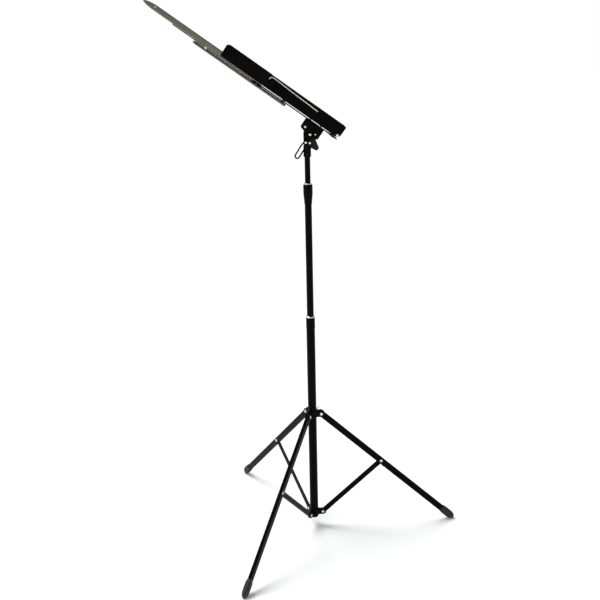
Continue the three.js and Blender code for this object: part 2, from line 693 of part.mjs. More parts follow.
// Spring wire that turns on the leaf's rivet and lies along the ledge arm.
function pageWire() {
  const points = [];
  for (let turn = 150; turn <= 390; turn += 30) {
    const v = LEAF_PIVOT.v + 3.7 * Math.cos(degrees(turn));
    points.push([wireU, v, LEAF_PIVOT.w + 3.7 * Math.sin(degrees(turn))]);
  }
  points.push([wireU, LEAF_PIVOT.v + 3.5, 22], [wireU, LEAF_PIVOT.v + 2, 26.2]);
  points.push([wireU, LEAF_PIVOT.v - 2, 28.2], [wireU, LEAF_PIVOT.v - 10, 28]);
  points.push([wireU, 110, 26], [wireU, 58, 24.2], [wireU, 52, 24]);
  return toGeometry(toSolid(wire(wirePath(points), PAGE_WIRE_RADIUS, 30)));
}

// The upper arm is a channel with its open side to the reader and a bullet nose.
function upperArm() {
  const { halfWidth, wall, back, front, end, length } = UPPER_ARM;
  const low = LINK_SPACING - end;
  const high = LINK_SPACING + length;
  const middle = (back + front) / 2;
  const side = new THREE.Shape();
  side.moveTo(low, back);
  side.lineTo(high - 26, back);
  side.lineTo(high - 7, middle - 3);
  side.absarc(high - 3, middle, 3, degrees(-75), degrees(75), false);
  side.lineTo(high - 22, front);
  side.lineTo(low + 8, front);
  side.lineTo(low, back + 3);
  const bar = standAlong(plate(side, 2 * halfWidth)).translate(PIVOT_U, 0, 0);
  const plan = new THREE.Shape();
  plan.moveTo(PIVOT_U - halfWidth, low + 4);
  plan.lineTo(PIVOT_U - halfWidth + 4, low);
  plan.lineTo(PIVOT_U + halfWidth - 4, low);
  plan.lineTo(PIVOT_U + halfWidth, low + 4);
  plan.lineTo(PIVOT_U + halfWidth, high - 12);
  plan.absarc(PIVOT_U, high - 4, 4, degrees(20), degrees(160), false);
  plan.lineTo(PIVOT_U - halfWidth, high - 12);
  const inner = halfWidth - wall;
  const hollow = box([PIVOT_U - inner, low - 5, back + wall], [PIVOT_U + inner, high - 14, front + 5]);
  return cut(
    common(bar, plate(plan, 60)),
    hollow,
    holeAlongW(RIVET_RADIUS.bar, PIVOT_U, LINK_SPACING),
    holeAlongW(RIVET_RADIUS.bar, PIVOT_U, LINK_SPACING + LINK_REACH),
    rod(1.8, -20, 20).rotateY(Math.PI / 2).translate(PIVOT_U, high - 10, middle),
  );
}

// The side bar is a shallow channel behind the desk, open to the rear.
function sideBar() {
  const { halfWidth, wall, front, back } = SIDE_BAR;
  const low = LINK_REACH - SIDE_BAR.low;
  const high = LINK_REACH + LINK_SPACING + SIDE_BAR.high;
  const inner = halfWidth - wall;
  const outline = polygon([
    [PIVOT_U - halfWidth, low + 3], [PIVOT_U - halfWidth + 3, low],
    [PIVOT_U + halfWidth - 3, low], [PIVOT_U + halfWidth, low + 3],
    [PIVOT_U + halfWidth, high - 10], [PIVOT_U + halfWidth - 2, high - 2],
    [PIVOT_U + halfWidth - 4, high], [PIVOT_U - halfWidth + 4, high],
    [PIVOT_U - halfWidth + 2, high - 2], [PIVOT_U - halfWidth, high - 10],
  ]);
  return cut(
    plate(outline, front - back).translate(0, 0, (front + back) / 2),
    box([PIVOT_U - inner, low - 5, back - 5], [PIVOT_U + inner, high - 8, front - wall]),
    holeAlongW(RIVET_RADIUS.bar, PIVOT_U, LINK_REACH),
    holeAlongW(RIVET_RADIUS.bar, PIVOT_U, LINK_REACH + LINK_SPACING),
  );
}

// Rivets of the desk stand along w. Each has a head behind, a shank, a spacer
// where the bars it joins lie apart, and a head in front.
function ledgePivot() {
  const behind = -spineFace - PLAY;
  const front = LEDGE.back + LEDGE.sheet + PLAY;
  return pin([
    [behind - 1.1, behind, 4.6], [behind, spineFace + PLAY, RIVET_RADIUS.ledge],
    [spineFace + PLAY, LEDGE.back - PLAY, 4.6], [LEDGE.back - PLAY, front, RIVET_RADIUS.ledge],
    [front, front + 1.3, 4.6],
  ]).translate(PIVOT_U, 0, 0);
}

function upperPivot() {
  const behind = -spineFace - PLAY;
  const front = UPPER_ARM.back + UPPER_ARM.wall + PLAY;
  return pin([
    [behind - 1, behind, 3.8], [behind, front, RIVET_RADIUS.bar], [front, front + 1.2, 3.8],
  ]).translate(PIVOT_U, LINK_SPACING, 0);
}

function sideBarRivet(v, seat, sheet) {
  const behind = SIDE_BAR.front - SIDE_BAR.wall - PLAY;
  const front = seat + sheet + PLAY;
  return pin([
    [behind - 1.2, behind, 3.4], [behind, SIDE_BAR.front + PLAY, RIVET_RADIUS.bar],
    [SIDE_BAR.front + PLAY, seat - PLAY, 3.8], [seat - PLAY, front, RIVET_RADIUS.bar],
    [front, front + 1.2, 3.8],
  ]).translate(PIVOT_U, v, 0);
}

function bracketRivet(v) {
  const behind = -spineFace - BRACKET.gap - BRACKET.sheet - PLAY;
  const front = spineFace + PLAY;
  return pin([
    [behind - 1.3, behind, 3.8], [behind, front, RIVET_RADIUS.small], [front, front + 1.3, 3.8],
  ]).translate(0, v, 0);
}

function bracketCrossRivet({ v, w }) {
  const reach = BRACKET.halfWidth + PLAY;
  return pin([
    [-reach - 1.3, -reach, 3.4], [-reach, reach, RIVET_RADIUS.small], [reach, reach + 1.3, 3.4],
  ]).rotateY(Math.PI / 2).translate(0, v, w);
}

function desk() {
  const slope = degrees(DESK_SLOPE);
  const group = new THREE.Group();
  const across = new THREE.Vector3(0, 1, 0);
  const upSlope = new THREE.Vector3(-Math.cos(slope), 0, Math.sin(slope));
  const outward = new THREE.Vector3(Math.sin(slope), 0, Math.cos(slope));
  const basis = new THREE.Matrix4().makeBasis(across, upSlope, outward);
  group.quaternion.setFromRotationMatrix(basis);
  group.position.set(TILT_AXIS.x, 0, TILT_AXIS.z)
    .addScaledVector(upSlope, -DESK_AXIS.v)
    .addScaledVector(outward, -DESK_AXIS.w);
  group.add(
    part('spine', spine(), 'black'),
    part('desk_bracket', deskBracket(), 'black'),
    part('bracket_rivet_lower', bracketRivet(BRACKET_RIVETS[0]), 'nickel'),
    part('bracket_rivet_upper', bracketRivet(BRACKET_RIVETS[1]), 'nickel'),
    part('bracket_cross_rivet_lower', bracketCrossRivet(CROSS_RIVETS.lower), 'nickel'),
    part('bracket_cross_rivet_upper', bracketCrossRivet(CROSS_RIVETS.upper), 'nickel'),
  );
  const topRivet = LINK_REACH + LINK_SPACING;
  for (const [hand, side] of [['left', -1], ['right', 1]]) {
    const add = (name, geometry, finish) => {
      group.add(part(`${name}_${hand}`, mirrored(toGeometry(toSolid(geometry)), side), finish));
    };
    add('ledge_arm', ledgeArm(), 'black');
    add('ledge_pivot', ledgePivot(), 'nickel');
    add('ledge_leaf', ledgeLeaf(), 'black');
    add('leaf_rivet', leafRivet(), 'black');
    add('page_wire', pageWire(), 'nickel');
    add('upper_arm', upperArm(), 'strip');
    add('upper_pivot', upperPivot(), 'nickel');
    add('side_bar', sideBar(), 'strip');
    add('side_bar_lower_rivet', sideBarRivet(LINK_REACH, LEDGE.back, LEDGE.sheet), 'nickel');
    add('side_bar_upper_rivet', sideBarRivet(topRivet, UPPER_ARM.back, UPPER_ARM.wall), 'nickel');
  }
  return group;
}

// ---- assembly -------------------------------------------------------------
const stand = groupAt(MAST_X, MAST_Y, 0, tripod(), mast(), head(), desk());
stand.updateMatrixWorld(true);

export default stand;
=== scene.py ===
"""Folding music stand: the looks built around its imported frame."""
import math

import bmesh
import bpy
from mathutils import Matrix, Vector
from mathutils.geometry import tessellate_polygon


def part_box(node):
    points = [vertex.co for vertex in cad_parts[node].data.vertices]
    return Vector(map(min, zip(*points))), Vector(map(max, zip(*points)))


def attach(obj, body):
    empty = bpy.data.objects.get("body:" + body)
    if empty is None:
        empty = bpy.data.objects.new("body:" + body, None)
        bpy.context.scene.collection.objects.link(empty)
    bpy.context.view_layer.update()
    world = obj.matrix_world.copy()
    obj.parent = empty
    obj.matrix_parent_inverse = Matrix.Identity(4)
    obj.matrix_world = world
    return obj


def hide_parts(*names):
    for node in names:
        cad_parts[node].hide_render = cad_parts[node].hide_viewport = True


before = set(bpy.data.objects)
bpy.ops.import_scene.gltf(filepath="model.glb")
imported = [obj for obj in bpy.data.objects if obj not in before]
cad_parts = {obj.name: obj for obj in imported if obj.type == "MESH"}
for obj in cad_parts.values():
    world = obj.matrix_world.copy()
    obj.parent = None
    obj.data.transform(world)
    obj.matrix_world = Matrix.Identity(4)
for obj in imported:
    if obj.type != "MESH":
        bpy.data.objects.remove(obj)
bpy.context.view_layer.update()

scene = bpy.context.scene
rad = math.radians

# ---- dimensions in millimetres, as in the CAD part --------------------------
FOOT_RADIUS, FOOT_AXIS = 318.0, 7.0
LEG_AZIMUTHS = {"right": 2.7, "rear": 122.7, "front": 242.7}
PIVOT_RADIUS, UPPER_PIVOT, LOWER_PIVOT = 20.0, 275.5, 33.0
LEG_WIDTH, LEG_DEPTH, LEG_WALL, LEG_TOP = 7.5, 13.6, 1.1, 9.0
BRACE_WIDTH, BRACE_DEPTH = 2.4, 11.2
FOOT_WIDTH, FOOT_DEPTH, FOOT_LENGTH = 12.0, 17.0, 30.0
SPIDER_HEIGHT, SPIDER_REACH, SPIDER_SHEET, SPIDER_BEND = 14.0, 27.0, 1.3, 16.0
GAP, PLAY = 0.4, 0.25
LOWER = {"r": 9.4, "wall": 0.9, "bottom": 25.0, "top": 500.0}
MID = {"r": 7.4, "wall": 0.7, "bottom": 372.0, "top": 770.0}
TOP = {"r": 5.9, "wall": 0.9, "bottom": 486.0, "top": 868.0}
SWAGE_Z, SWAGE_R = 474.0, 9.8
SLEEVE = {"bottom": 748.0, "top": 789.0, "r": 9.9}
TILT = (6.5, 892.0)
FORK = {"half": 7.8, "sheet": 1.4, "r": 8.0, "neck": 7.2, "shoulder": 896.0}
COLLAR = {"bottom": 846.0, "top": 868.0, "r": 8.0}
PINCH = (-2.8, 876.0)
FORK_RIVET = (5.2, 874.5)
KNOB_Y, KNOB_THICK = 13.9, 5.0
LOOP = {"half": 4.6, "length": 37.0, "r": 1.6, "y": -10.5, "turn": 33.0}
DESK_SLOPE, DESK_V, DESK_W = 35.7, 39.0, -23.0
PIVOT_U, SPACING, REACH = 15.5, 185.0, 121.0
SPINE_TOP, EAR, SPINE_HALF = 386.0, 23.5, 7.0
BRACKET = {"bottom": 22.0, "top": 64.0, "half": 9.5, "sheet": 1.3}
LEDGE = {"start": -13.0, "end": 170.0, "sheet": 1.5, "back": 3.3, "front": 30.5, "lip": 5.0}
LEAF = {"start": 157.0, "end": 274.0, "sheet": 1.4, "back": 3.5, "front": 31.0}
LEAF_PIVOT = (165.0, 17.0)
ROOT_ROUND, ROOT_RIVET = 9.0, (-6.8, 7.6)
ARM_TIP = SPACING + 270.0
ARM = {"half": 6.0, "open": 11.3, "web": 1.9, "wall": 1.2, "end": 9.0}
BAR = {"half": 5.0, "open": -6.5, "web": -3.1, "wall": 1.2, "low": 8.0, "high": 28.0}
WIRE_U = PIVOT_U + 8 + 0.3 + 1.4 + 0.35 + 1.0

low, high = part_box("lower_tube")
MAST = Matrix.Translation(((low.x + high.x) * 500, (low.y + high.y) * 500, 0))


# ---- flat and folded sheet --------------------------------------------------
def arc(cx, cy, r, start, end, steps=8):
    """Points on a circle, angles in degrees."""
    return [(cx + r * math.cos(rad(start + (end - start) * k / steps)),
             cy + r * math.sin(rad(start + (end - start) * k / steps))) for k in range(steps + 1)]


def fillet(points, closed=True, steps=5):
    """A polyline whose corners given as (x, y, radius) are rounded."""
    out, n = [], len(points)
    for i, p in enumerate(points):
        r = p[2] if len(p) > 2 else 0
        if r <= 0 or (not closed and i in (0, n - 1)):
            out.append((p[0], p[1]))
            continue
        b = Vector(p[:2])
        u, v = Vector(points[i - 1][:2]) - b, Vector(points[(i + 1) % n][:2]) - b
        lu, lv = u.length, v.length
        u.normalize()
        v.normalize()
        half = u.angle(v) / 2
        reach = min(r / math.tan(half), 0.48 * lu, 0.48 * lv)
        r = reach * math.tan(half)
        centre = b + (u + v).normalized() * (r / math.sin(half))
        a0, a1 = (b + u * reach - centre), (b + v * reach - centre)
        start, turn = math.atan2(a0.y, a0.x), a0.angle_signed(a1)
        out += [(centre.x + r * math.cos(start - turn * k / steps),
                 centre.y + r * math.sin(start - turn * k / steps)) for k in range(steps + 1)]
    return out


def ease(t):
    """Rises smoothly from 0 to 1 as t does."""
    return 3 * t * t - 2 * t ** 3


def path_length(points):
    """The length of the open path through the points."""
    return sum((Vector(b) - Vector(a)).length for a, b in zip(points, points[1:]))


def circle(x, y, r, sides=24):
    """A closed ring of points."""
    return arc(x, y, r, 0, 360 - 360 / sides, sides - 1)


def folded(outline, section, thickness, holes=(), rim=0.22, warp=None, cuts=()):
    """A sheet of the given flat outline in (s, t), bent so that s follows the
    section's (x, z) path and t stays along y. Its rims are rounded."""
    rings = [[Vector((x, y, 0)) for x, y in ring] for ring in [outline, *holes]]
    bm = bmesh.new()
    flat = [bm.verts.new(p) for ring in rings for p in ring]
    for tri in tessellate_polygon(rings):
        bm.faces.new([flat[i] for i in tri])
    path = [Vector(p) for p in section]
    along = [0.0]
    for a, b in zip(path, path[1:]):
        along.append(along[-1] + (b - a).length)

    def split(co, no):
        everything = bm.verts[:] + bm.edges[:] + bm.faces[:]
        bmesh.ops.bisect_plane(bm, geom=everything, dist=1e-5, plane_co=co, plane_no=no)

    for s in along[1:-1]:
        split((s, 0, 0), (1, 0, 0))
    for t in cuts:
        split((0, t, 0), (0, 1, 0))
    normals = []
    for i in range(len(path)):
        before = (path[i] - path[i - 1]).normalized() if i else None
        after = (path[i + 1] - path[i]).normalized() if i < len(path) - 1 else None
        ways = [w for w in (before, after) if w]
        n = [Vector((-w.y, w.x)) for w in ways]
        mean = sum(n, Vector((0, 0))).normalized()
        normals.append(mean / max(0.3, mean.dot(n[0])))

    def place(s, t, side):
        i = max(k for k in range(len(along) - 1) if along[k] <= s + 1e-6 or k == 0)
        f = (s - along[i]) / (along[i + 1] - along[i])
        g = min(max(f, 0), 1)
        p = path[i].lerp(path[i + 1], f) + normals[i].lerp(normals[i + 1], g) * side * thickness / 2
        x, z = warp(p.x, p.y, t) if warp else (p.x, p.y)
        return Vector((x, t, z))

    bm.verts.index_update()
    out = bmesh.new()
    sides = [[out.verts.new(place(v.co.x, v.co.y, side)) for v in bm.verts] for side in (1, -1)]
    for f in bm.faces:
        ids = [v.index for v in f.verts]
        out.faces.new([sides[0][i] for i in ids])
        out.faces.new([sides[1][i] for i in reversed(ids)])
    rims = []
    for e in bm.edges:
        if len(e.link_faces) == 1:
            a, b = (v.index for v in e.verts)
            out.faces.new([sides[0][a], sides[0][b], sides[1][b], sides[1][a]])
            rims += [(sides[0][a], sides[0][b]), (sides[1][a], sides[1][b])]
    bm.free()
    bmesh.ops.recalc_face_normals(out, faces=out.faces)
    kept = {e for e in (out.edges.get(pair) for pair in rims) if e}
    bmesh.ops.dissolve_limit(out, angle_limit=rad(0.6), verts=out.verts[:],
                             edges=[e for e in out.edges if e not in kept])
    sharp = [e for e in out.edges if e.is_valid and len(e.link_faces) == 2
             and e.calc_face_angle(0) > rad(60)]
    if rim:
        bmesh.ops.bevel(out, geom=sharp, offset=rim, offset_type="OFFSET", segments=3,
                        profile=0.5, clamp_overlap=True, affect="EDGES")
    return out


def plate(outline, thickness, holes=(), rim=0.22):
    """A flat sheet in the XY plane, half its thickness each side of z = 0."""
    xs = [p[0] for p in outline]
    return folded(outline, [(0, 0), (max(xs) + 1, 0)], thickness, holes, rim)


# ---- turned, swept and lofted shapes -----------------------------------------
def rings_to_mesh(rows, closed=False):
    """Joins rows of points into a skin. A row of one point is a pole."""
    bm = bmesh.new()
    grid = [[bm.verts.new(p) for p in row] for row in rows]
    if closed:
        grid.append(grid[0])
    for a, b in zip(grid, grid[1:]):
        n = max(len(a), len(b))
        for k in range(n):
            j = (k + 1) % n
            corners = [a[k % len(a)], a[j % len(a)], b[j % len(b)], b[k % len(b)]]
            unique = list(dict.fromkeys(corners))
            if len(unique) > 2:
                bm.faces.new(unique)
    return bm


def turned(profile, sides=64, closed=False, dents=()):
    """A solid of revolution about z. Each dent is (degrees, z, radius, depth)."""
    rows = []
    for r, z in profile:
        if r < 1e-6:
            rows.append([(0, 0, z)])
            continue
        row = []
        for k in range(sides):
            angle, here = 2 * math.pi * k / sides, r
            for azimuth, height, size, depth in dents:
                turn = (angle - rad(azimuth) + math.pi) % (2 * math.pi) - math.pi
                off = math.hypot(turn * r, z - height) / size
                if off < 2.5 and r > 5.5:
                    here -= depth * math.exp(-2 * off * off)
            row.append((here * math.cos(angle), here * math.sin(angle), z))
        rows.append(row)
    return rings_to_mesh(rows, closed)


def fine(z, span=2.6, step=0.45):
    """Heights close together about z."""
    n = int(span / step)
    return [z + step * k for k in range(-n, n + 1)]


def dome(r, height, z=0.0, edge=0.25, steps=7):
    """Profile of a rivet head that stands on z, from its rim to its crown."""
    out = [(r - 0.1, z), (r, z + 0.1), (r, z + edge)]
    for k in range(1, steps + 1):
        a = math.pi / 2 * k / steps
        out.append((r * math.cos(a) if k < steps else 0, z + edge + (height - edge) * math.sin(a)))
    return out


def rivet(heads, shank):
    """A rivet along z. heads are (z, radius, height) of its lower and upper head."""
    (z0, r0, h0), (z1, r1, h1) = heads
    under = [(r, 2 * z0 - z) for r, z in reversed(dome(r0, h0, z0))]
    over = dome(r1, h1, z1)
    return turned(under + [(shank, z0), (shank, z1)] + over, 36)


def tube_along(points, radius, sides=16):
    """A round wire through the points, with rounded ends."""
    pts = [Vector(p) for p in points]
    tangents = [(pts[min(i + 1, len(pts) - 1)] - pts[max(i - 1, 0)]).normalized()
                for i in range(len(pts))]
    side = tangents[0].orthogonal().normalized()
    rows = []

    def ring(centre, tangent, r):
        return [centre + (side * math.cos(a) + tangent.cross(side) * math.sin(a)) * r
                for a in (2 * math.pi * k / sides for k in range(sides))]

    rows.append([pts[0] - tangents[0] * radius])
    for a in (60, 30):
        rows.append(ring(pts[0] - tangents[0] * radius * math.sin(rad(a)), tangents[0],
                         radius * math.cos(rad(a))))
    for p, t in zip(pts, tangents):
        side = (side - t * side.dot(t)).normalized()
        rows.append(ring(p, t, radius))
    for a in (30, 60):
        rows.append(ring(pts[-1] + tangents[-1] * radius * math.sin(rad(a)), tangents[-1],
                         radius * math.cos(rad(a))))
    rows.append([pts[-1] + tangents[-1] * radius])
    return rings_to_mesh(rows)


def smooth_path(points, per=8):
    """A Catmull-Rom curve through the points."""
    pts = [Vector(p) for p in points]
    pts = [2 * pts[0] - pts[1], *pts, 2 * pts[-1] - pts[-2]]
    out = []
    for a, b, c, d in zip(pts, pts[1:], pts[2:], pts[3:]):
        for k in range(per):
            t = k / per
            out.append(0.5 * (2 * b + (c - a) * t + (2 * a - 5 * b + 4 * c - d) * t * t
                              + (3 * b - a - 3 * c + d) * t ** 3))
    return out + [pts[-2]]


def superellipse(x, half_y, half_z, power=2.8, sides=40):
    """A rounded section standing across x."""
    row = []
    for k in range(sides):
        a = 2 * math.pi * k / sides
        c, s = math.cos(a), math.sin(a)
        row.append((x, half_y * math.copysign(abs(c) ** (2 / power), c),
                    half_z * math.copysign(abs(s) ** (2 / power), s)))
    return row


# ---- materials ----------------------------------------------------------------
class Shader:
    """A procedural material with a principled surface."""

    def __init__(self, name, **settings):
        self.material = bpy.data.materials.new(name)
        self.material.use_nodes = True
        self.tree = self.material.node_tree
        self.surface = next(n for n in self.tree.nodes if n.type == "BSDF_PRINCIPLED")
        for key, value in settings.items():
            self.surface.inputs[key.replace("_", " ")].default_value = value
        self.place = self.add("ShaderNodeTexCoord").outputs["Object"]

    def add(self, kind, inputs=None, **settings):
        node = self.tree.nodes.new(kind)
        for key, value in settings.items():
            setattr(node, key, value)
        for key, value in (inputs or {}).items():
            if isinstance(value, bpy.types.NodeSocket):
                self.tree.links.new(value, node.inputs[key])
            else:
                node.inputs[key].default_value = value
        return node

    def noise(self, scale, detail=3.0, roughness=0.55, distortion=0.0, where=None):
        """Noise of about scale features to the metre, from 0 to 1."""
        inputs = {"Vector": where or self.place, "Scale": scale, "Detail": detail,
                  "Roughness": roughness, "Distortion": distortion}
        return self.add("ShaderNodeTexNoise", inputs).outputs["Fac"]

    def ramp(self, value, low, high, out_low=0.0, out_high=1.0):
        inputs = {"Value": value, "From Min": low, "From Max": high,
                  "To Min": out_low, "To Max": out_high}
        return self.add("ShaderNodeMapRange", inputs, clamp=True,
                        interpolation_type="SMOOTHSTEP").outputs["Result"]

    def maths(self, operation, a, b):
        return self.add("ShaderNodeMath", {0: a, 1: b}, operation=operation).outputs[0]

    def mix(self, factor, a, b):
        node = self.add("ShaderNodeMix", data_type="RGBA")
        for socket, value in zip((node.inputs[0], node.inputs[6], node.inputs[7]), (factor, a, b)):
            if isinstance(value, bpy.types.NodeSocket):
                self.tree.links.new(value, socket)
            elif isinstance(value, tuple):
                socket.default_value = (*value, 1)
            else:
                socket.default_value = value
        return node.outputs[2]

    def stretched(self, slope, stretch):
        """Coordinates that run slowly along a line at this slope in the XZ plane."""
        turn = self.add("ShaderNodeMapping", {"Vector": self.place, "Rotation": (0, -slope, 0)})
        return self.add("ShaderNodeMapping", {"Vector": turn.outputs[0], "Scale": stretch}).outputs[0]

    def edges(self, radius):
        """1 on outside edges, 0 on open faces."""
        soft = self.add("ShaderNodeBevel", {"Radius": radius}, samples=4).outputs[0]
        true = self.add("ShaderNodeNewGeometry").outputs["Normal"]
        dot = self.add("ShaderNodeVectorMath", {0: soft, 1: true}, operation="DOT_PRODUCT").outputs["Value"]
        return self.ramp(dot, 0.995, 0.90)

    def bump(self, height, strength, distance):
        inputs = {"Height": height, "Strength": strength, "Distance": distance}
        self.link("Normal", self.add("ShaderNodeBump", inputs).outputs[0])

    def link(self, socket, value):
        self.tree.links.new(value, self.surface.inputs[socket])


def black_paint(name, deep, pale, rough, level=0.045):
    """Stove enamel: fine orange peel, handling marks, hairline scratches, and outside edges lightened partly
    as rubbed wear and partly as a painted highlight along the bends.
    """
    m = Shader(name, Specular_IOR_Level=level)
    cloud = m.ramp(m.noise(38, 4), 0.35, 0.68)
    coat = m.mix(cloud, deep, pale)
    lines = m.noise(260, 2, 0.6, 1.5, m.stretched(rad(55), (0.12, 1, 1)))
    scratch = m.maths("MULTIPLY", m.ramp(m.maths("ABSOLUTE", m.maths("SUBTRACT", lines, 0.5), 0), 0.006, 0.0),
                      m.ramp(m.noise(70, 2), 0.58, 0.7))
    coat = m.mix(m.maths("MULTIPLY", scratch, 0.35), coat, (0.03, 0.03, 0.031))
    # Outside edges lightened: partly rubbed paint, partly a painted highlight standing in for light caught on
    # the bends.
    edge_wear_and_highlight = m.maths("MULTIPLY", m.edges(0.0007), m.ramp(m.noise(420, 4, 0.7), 0.50, 0.66))
    coat = m.mix(m.maths("MULTIPLY", edge_wear_and_highlight, 0.55), coat, (0.13, 0.125, 0.12))
    m.link("Base Color", coat)
    smear = m.ramp(m.noise(55, 5, 0.6), 0.3, 0.75, rough - 0.06, rough + 0.10)
    m.link("Roughness", m.maths("ADD", smear, m.maths("MULTIPLY", edge_wear_and_highlight, 0.15)))
    m.bump(m.noise(850, 2), 0.16, 0.00025)
    return m.material


def plated(name, bright, dull, rough, slope=None):
    """Nickel plate: cloudy tarnish, fine rub lines and pin spots."""
    m = Shader(name, Metallic=1.0)
    cloud = m.ramp(m.noise(90, 5, 0.6), 0.35, 0.7)
    where = m.stretched(slope, (0.02, 1, 1)) if slope is not None else m.place
    grain = m.noise(2600 if slope is not None else 900, 3, 0.6, 0.0, where)
    spots = m.ramp(m.noise(700, 2), 0.70, 0.76)
    tone = m.mix(m.maths("MULTIPLY", cloud, 0.75), bright, dull)
    tone = m.mix(m.maths("MULTIPLY", spots, 0.5), tone, tuple(0.45 * c for c in dull))
    if slope is not None:
        tone = m.mix(m.ramp(grain, 0.3, 0.7, 0.0, 0.35), tone, tuple(0.7 * c for c in dull))
    m.link("Base Color", tone)
    haze = m.maths("ADD", m.maths("MULTIPLY", cloud, 0.5), m.maths("MULTIPLY", grain, 0.5))
    m.link("Roughness", m.ramp(haze, 0.25, 0.75, rough, rough + 0.16))
    m.bump(grain, 0.10, 0.00008)
    return m.material


def rubber(name):
    """Moulded rubber: dull bloom, fine grain, floor dust near the sole."""
    m = Shader(name, Specular_IOR_Level=0.35)
    bloom = m.ramp(m.noise(120, 4, 0.6), 0.4, 0.72)
    base = m.mix(bloom, (0.007, 0.007, 0.0075), (0.015, 0.015, 0.0155))
    split = m.add("ShaderNodeSeparateXYZ", {0: m.place}).outputs["Z"]
    dust = m.maths("MULTIPLY", m.ramp(split, 0.011, 0.0005), m.ramp(m.noise(500, 4, 0.7), 0.35, 0.65))
    m.link("Base Color", m.mix(m.maths("MULTIPLY", dust, 0.55), base, (0.13, 0.125, 0.115)))
    m.link("Roughness", m.ramp(m.noise(260, 3), 0.3, 0.7, 0.46, 0.66))
    m.bump(m.noise(2400, 3), 0.25, 0.00012)
    return m.material


def plastic(name):
    """Moulded plastic with a fine spark-eroded grain and polished high spots."""
    m = Shader(name, Specular_IOR_Level=0.25)
    wear = m.edges(0.0009)
    base = m.mix(m.ramp(m.noise(160, 3), 0.35, 0.7), (0.004, 0.004, 0.0045), (0.008, 0.008, 0.0085))
    m.link("Base Color", m.mix(m.maths("MULTIPLY", wear, 0.25), base, (0.03, 0.03, 0.031)))
    m.link("Roughness", m.maths("SUBTRACT", m.ramp(m.noise(600, 3), 0.3, 0.7, 0.40, 0.52),
                                m.maths("MULTIPLY", wear, 0.12)))
    m.bump(m.noise(3200, 2), 0.22, 0.00008)
    return m.material


SLOPE = rad(DESK_SLOPE)
LOOKS = {
    "black_paint": black_paint("black_enamel", (0.0004, 0.0004, 0.0005), (0.0011, 0.0011, 0.0013), 0.24),
    # A paler, warmer copy of the same enamel for the ledge leaves: a painted reflection of warm surroundings.
    "black_paint_painted_reflection": black_paint("black_enamel_painted_reflection", (0.0014, 0.0011, 0.0010),
                                    (0.0028, 0.0023, 0.0021), 0.28),
    "nickel": plated("bright_nickel", (0.78, 0.75, 0.70), (0.50, 0.46, 0.40), 0.13),
    "nickel_strip": plated("strip_nickel", (0.27, 0.255, 0.20), (0.15, 0.142, 0.108), 0.24, SLOPE),
    # A darkened copy of the nickel for rivets that sit in shadow: painted shade.
    "nickel_painted_shade": plated("painted_shade_nickel", (0.060, 0.058, 0.055), (0.028, 0.027, 0.026), 0.30),
    "rubber": rubber("foot_rubber"),
    "black_plastic": plastic("black_plastic"),
}


# ---- pieces -------------------------------------------------------------------
def piece(name, shapes, place, body, slot, nodes=(), look=None):
    """Joins shapes given in millimetres into one object that rides on a body."""
    whole = bmesh.new()
    for shape in shapes:
        shape, move = shape if isinstance(shape, tuple) else (shape, Matrix())
        bmesh.ops.remove_doubles(shape, verts=shape.verts[:], dist=1e-4)
        shape.transform(Matrix.Scale(0.001, 4) @ place @ move)
        bmesh.ops.recalc_face_normals(shape, faces=shape.faces[:])
        mesh = bpy.data.meshes.new("part")
        shape.to_mesh(mesh)
        shape.free()
        whole.from_mesh(mesh)
        bpy.data.meshes.remove(mesh)
    mesh = bpy.data.meshes.new(name)
    whole.to_mesh(mesh)
    whole.free()
    mesh.polygons.foreach_set("use_smooth", [True] * len(mesh.polygons))
    mesh.set_sharp_from_angle(angle=rad(38))
    obj = bpy.data.objects.new(name, mesh)
    scene.collection.objects.link(obj)
    mesh.materials.append(LOOKS[look or slot])
    weighted = obj.modifiers.new("even_shading", "WEIGHTED_NORMAL")
    weighted.keep_sharp = True
    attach(obj, body)
    if nodes:
        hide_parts(*nodes)
    return obj


def turn(angle, axis):
    """A rotation in radians about X, Y or Z."""
    return Matrix.Rotation(angle, 4, axis)


def shift(x, y, z):
    """A move in millimetres."""
    return Matrix.Translation((x, y, z))


ALONG_Y = turn(-math.pi / 2, "X")
ALONG_X = turn(math.pi / 2, "Y")
STANDING = turn(math.pi / 2, "X")

# ---- tripod -------------------------------------------------------------------
leg_drop, leg_spread = UPPER_PIVOT - FOOT_AXIS, FOOT_RADIUS - PIVOT_RADIUS
leg_angle = math.atan2(leg_spread, leg_drop)
leg_length = math.hypot(leg_spread, leg_drop)
link = (UPPER_PIVOT - LOWER_PIVOT) / (2 * math.cos(leg_angle))


def leg_shape():
    """A channel with rounded cheeks at its top end, in (width, length, depth)."""
    half = LEG_DEPTH / 2
    mid, top = LEG_WIDTH / 2 - LEG_WALL / 2, half - LEG_WALL / 2
    path = fillet([(-mid, -half), (-mid, top, 1.7), (mid, top, 1.7), (mid, -half)], False)
    total = path_length(path)
    end, centre = leg_length - FOOT_AXIS, half - LEG_TOP
    nose = [(half + z, centre + x) for z, x in
            ((-half * math.cos(rad(a)), -half * math.sin(rad(a))) for a in range(0, 176, 11))]
    nose = [(s, t) for s, t in nose if s < 2 * half - 1.4]
    other = [(total - s, t) for s, t in reversed(nose)]
    return folded(nose + other + [(total, end), (0, end)], path, LEG_WALL, rim=0.25)


